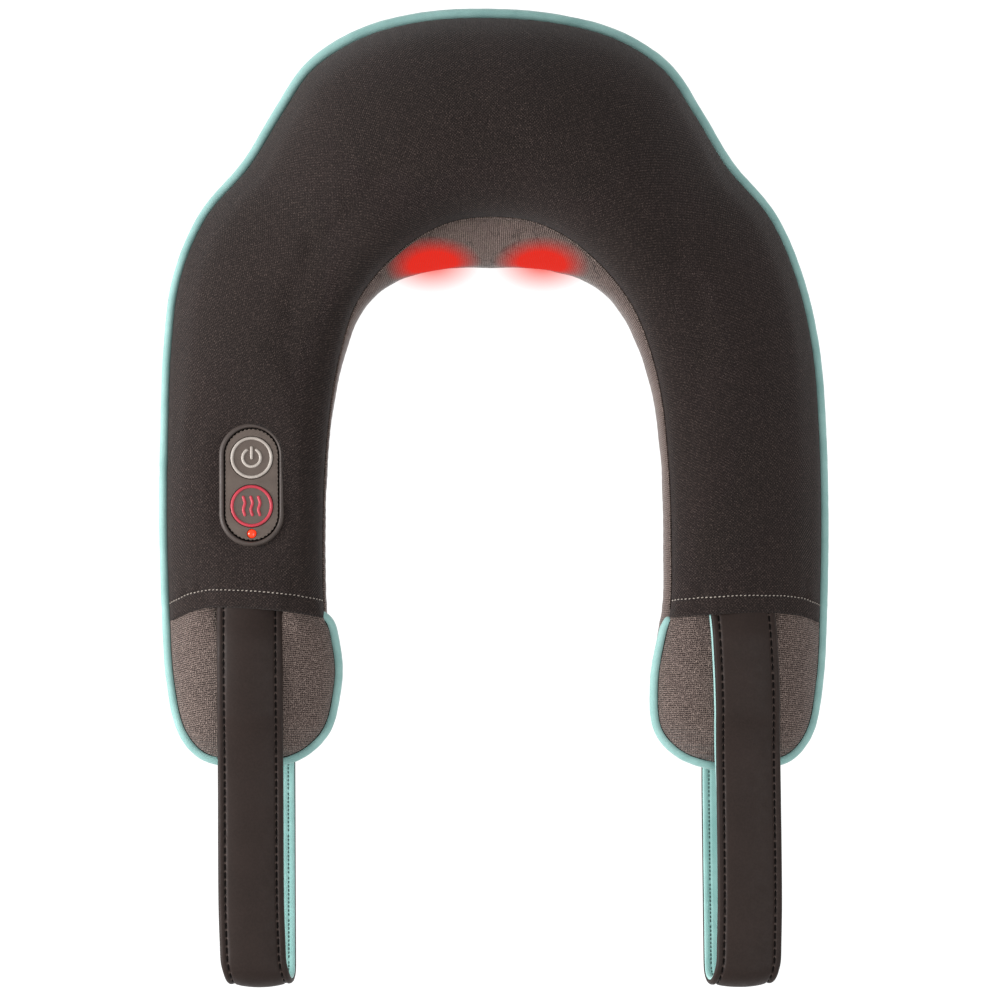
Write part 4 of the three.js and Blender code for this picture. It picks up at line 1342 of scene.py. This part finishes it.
def plate_with_holes(name, outline, holes, low, high, bevel):
    """A flat plate with softened edges and round holes, from a filled curve."""
    curve = bpy.data.curves.new(name, "CURVE")
    curve.dimensions = "2D"
    curve.fill_mode = "BOTH"
    curve.extrude = (high - low) / 2 * MM - bevel * MM
    curve.bevel_depth = bevel * MM
    curve.bevel_resolution = 3
    turn = np.linspace(0, 2 * np.pi, 64, endpoint=False)
    loops = [outline * (1 - 2 * bevel / CONTROL_SIZE[1])]
    loops += [np.column_stack([x + (r + bevel) * np.cos(turn), y + (r + bevel) * np.sin(turn)])
              for x, y, r in holes]
    for loop in loops:
        spline = curve.splines.new("POLY")
        spline.points.add(len(loop) - 1)
        for point, (x, y) in zip(spline.points, loop * MM):
            point.co = (x, y, 0, 1)
        spline.use_cyclic_u = True
    drawn = added(name + "_curve", curve)
    mesh = shaped(drawn)
    bpy.data.objects.remove(drawn)
    points = points_of(mesh) + (0, 0, (high + low) / 2)
    faces = [list(p.vertices) for p in mesh.polygons]
    piece = body(name, points + CONTROL, faces, shade=False)
    soften(piece, 35)
    return piece


def soften(piece, angle):
    """Smooth shading that keeps the sharp edges."""
    bm = bmesh.new()
    bm.from_mesh(piece.data)
    for face in bm.faces:
        face.smooth = True
    for edge in bm.edges:
        edge.smooth = not (edge.is_manifold and edge.calc_face_angle() > math.radians(angle))
    bm.to_mesh(piece.data)
    bm.free()


def make_control():
    width, length = CONTROL_SIZE
    rim = outline_sweep("control_rim", width, length, RIM_PROFILE)
    finish_piece(rim, "control_rubber", replaces=["control_bezel"])

    spine, out = stadium_outline(width, length, 24)
    holes = [(0, y, BUTTON_R + 0.22) for y in BUTTON_Y.values()] + [(0, LAMP_Y, 2.3)]
    edge = spine + out * (width / 2 - RIM)
    face = plate_with_holes("control_plate", edge, holes, -1.4, 1.15, 0.3)
    finish_piece(face, "control_plastic", replaces=["control_face"])

    make_groove_seam(spine, out * width / 2, out)
    for use, y in BUTTON_Y.items():
        make_button(use, y)
    lens = [(0, -2.4), (2.0, -2.4), (2.05, 1.0), (1.9, 1.45), (1.5, 1.85), (0.9, 2.1), (0, 2.2)]
    made = turned("lamp_lens", lens, CONTROL + (0, LAMP_Y, 0), 40)
    finish_piece(made, "lens_red", replaces=["indicator_lens"])


def make_groove_seam(spine, reach, out):
    """The dark cord in the groove inside the rim, and the small stitches over it."""
    sunk = at_height(spine + reach - 2.9 * out, -0.3)
    cord = tube("control_cord", sunk, THREAD_R, 8, closed=True)
    finish_piece(cord, "dark_thread")
    line = spine + reach - 3.3 * out
    line = np.concatenate([line, line[:1]])
    far = distances(line)
    stops = np.arange(0, far[-1] - 1, FINE_STITCH)
    flat = sampled(line, far, stops)
    along = np.column_stack([np.gradient(flat, axis=0), 0 * stops])
    up = 0 * along + (0, 0, 1)
    stitches = dashes("control_stitches", at_height(flat, 0.95), along, up, 1.3, 0.3)
    finish_piece(stitches, "control_plastic")


def make_button(use, y):
    """A dished cap with a raised ring round it and a raised sign on it."""
    at = CONTROL + (0, y, 0)
    r = BUTTON_R
    cap = [(0, -2.6), (2, -2.6), (2, -1.6), (r - 0.3, -1.6), (r, -1.3), (r, 1.0), (r - 0.25, 1.25),
           (r - 2.2, 1.28), (r - 4, 1.2), (0, 1.1)]
    button = turned(f"{use}_cap", cap, at, 72)
    soften(button, 50)
    finish_piece(button, "control_plastic", f"{use}_button", [f"{use}_button"])
    look = "ring_grey" if use == "power" else "ring_red"
    angle = np.linspace(0, 2 * np.pi, 96, endpoint=False)
    circle = np.column_stack([np.cos(angle), np.sin(angle), 0 * angle])
    ring = tube(f"{use}_ring", at + circle * (r - 0.8) + (0, 0, 1.25), 0.74, 12, flat=0.75, closed=True)
    finish_piece(ring, look, f"{use}_button")
    strokes = power_sign() if use == "power" else heat_sign()
    for k, stroke in enumerate(strokes):
        line = np.column_stack([stroke, 0 * stroke[:, 0] + 1.15]) + at
        sign = tube(f"{use}_sign_{k + 1}", line, 0.72, 10, flat=0.75)
        finish_piece(sign, look, f"{use}_button")


def power_sign():
    angle = np.radians(np.linspace(90 + 33, 450 - 33, 40))
    arc = 4.4 * np.column_stack([np.cos(angle), np.sin(angle)])
    bar = np.column_stack([np.zeros(8), np.linspace(-0.2, 5.0, 8)])
    return [arc, bar]


def heat_sign():
    t = np.linspace(0, 1, 36)
    wave = -0.38 * np.cos(2 * np.pi * (t + 0.04) / 0.74)
    return [np.column_stack([x + wave, 4.4 - 8.8 * t]) for x in (-3.7, 0, 3.7)]


# ---------------------------------------------------------------- camera, floor and light

CAMERA_AT = (-0.0852, -0.110, 1.62)
CAMERA_AIM = (0.00205, -0.00075, 0.02)
CAMERA_LENS = 115.2
CAMERA_ROLL = -0.45
FLOOR = 3000
SPILL_AT = ((-0.031, 0.1225, 0), (0.026, 0.1225, 0))  # where the floor shows the two red glows


def make_camera():
    """Nearly straight down, a little from the left arm's side, with a small roll."""
    camera = added("camera", bpy.data.cameras.new("camera"))
    back = (Vector(CAMERA_AT) - Vector(CAMERA_AIM)).normalized()
    right = Vector((0, 1, 0)).cross(back).normalized()
    turn = Matrix((right, back.cross(right), back)).transposed().to_4x4()
    roll = Matrix.Rotation(math.radians(CAMERA_ROLL), 4, "Z")
    camera.matrix_world = Matrix.Translation(CAMERA_AT) @ turn @ roll
    camera.data.lens = CAMERA_LENS
    camera.data.sensor_width = 36
    camera.data.clip_start = 0.05
    bpy.context.scene.camera = camera


def area_light(name, at, aim, size, power):
    data = bpy.data.lights.new(name, "AREA")
    data.shape = "RECTANGLE"
    data.size, data.size_y = size
    data.energy = power
    lamp = added(name, data)
    lamp.location = at
    lamp.rotation_euler = (Vector(aim) - Vector(at)).to_track_quat("-Z", "Y").to_euler()


def make_stage():
    corners = [(x * FLOOR, y * FLOOR, 0) for x, y in ((-1, -1), (1, -1), (1, 1), (-1, 1))]
    floor = body("floor", corners, [[0, 1, 2, 3]])
    floor.location.z = -0.0004
    s = Surface("pale_floor", 0.9, Specular_IOR_Level=0.2)
    s.set("Base Color", (0.2, 0.2, 0.2, 1))
    spill = glow_patch(s, s.place(), SPILL_AT, 0.0165, 0.004)
    s.set("Emission Color", s.mix(spill, (255, 255, 255), (255, 96, 84)))
    s.set("Emission Strength", 0.97)
    floor.data.materials.append(s.material)
    world = bpy.data.worlds.new("studio")
    world.use_nodes = True
    world.node_tree.nodes["Background"].inputs[0].default_value = (1, 1, 1, 1)
    world.node_tree.nodes["Background"].inputs[1].default_value = 0.5
    bpy.context.scene.world = world
    area_light("key", (-1.6, 0.0, 0.95), (0, 0, 0), (0.8, 0.8), 20)
    area_light("rake", (-1.5, -0.1, 0.4), (0, 0, 0.03), (0.6, 0.3), 17)
    area_light("fill", (0.9, -0.6, 1.7), (0, 0, 0), (1.6, 1.6), 17)
    bpy.context.scene.view_settings.view_transform = "Standard"


make_camera()
make_stage()
dress_cad_nodes()
make_outer_cover()
make_hem_stitches()
make_inner_cover()
make_seam_fold()
make_pockets()
make_piping()
make_foams()
make_straps()
make_control()
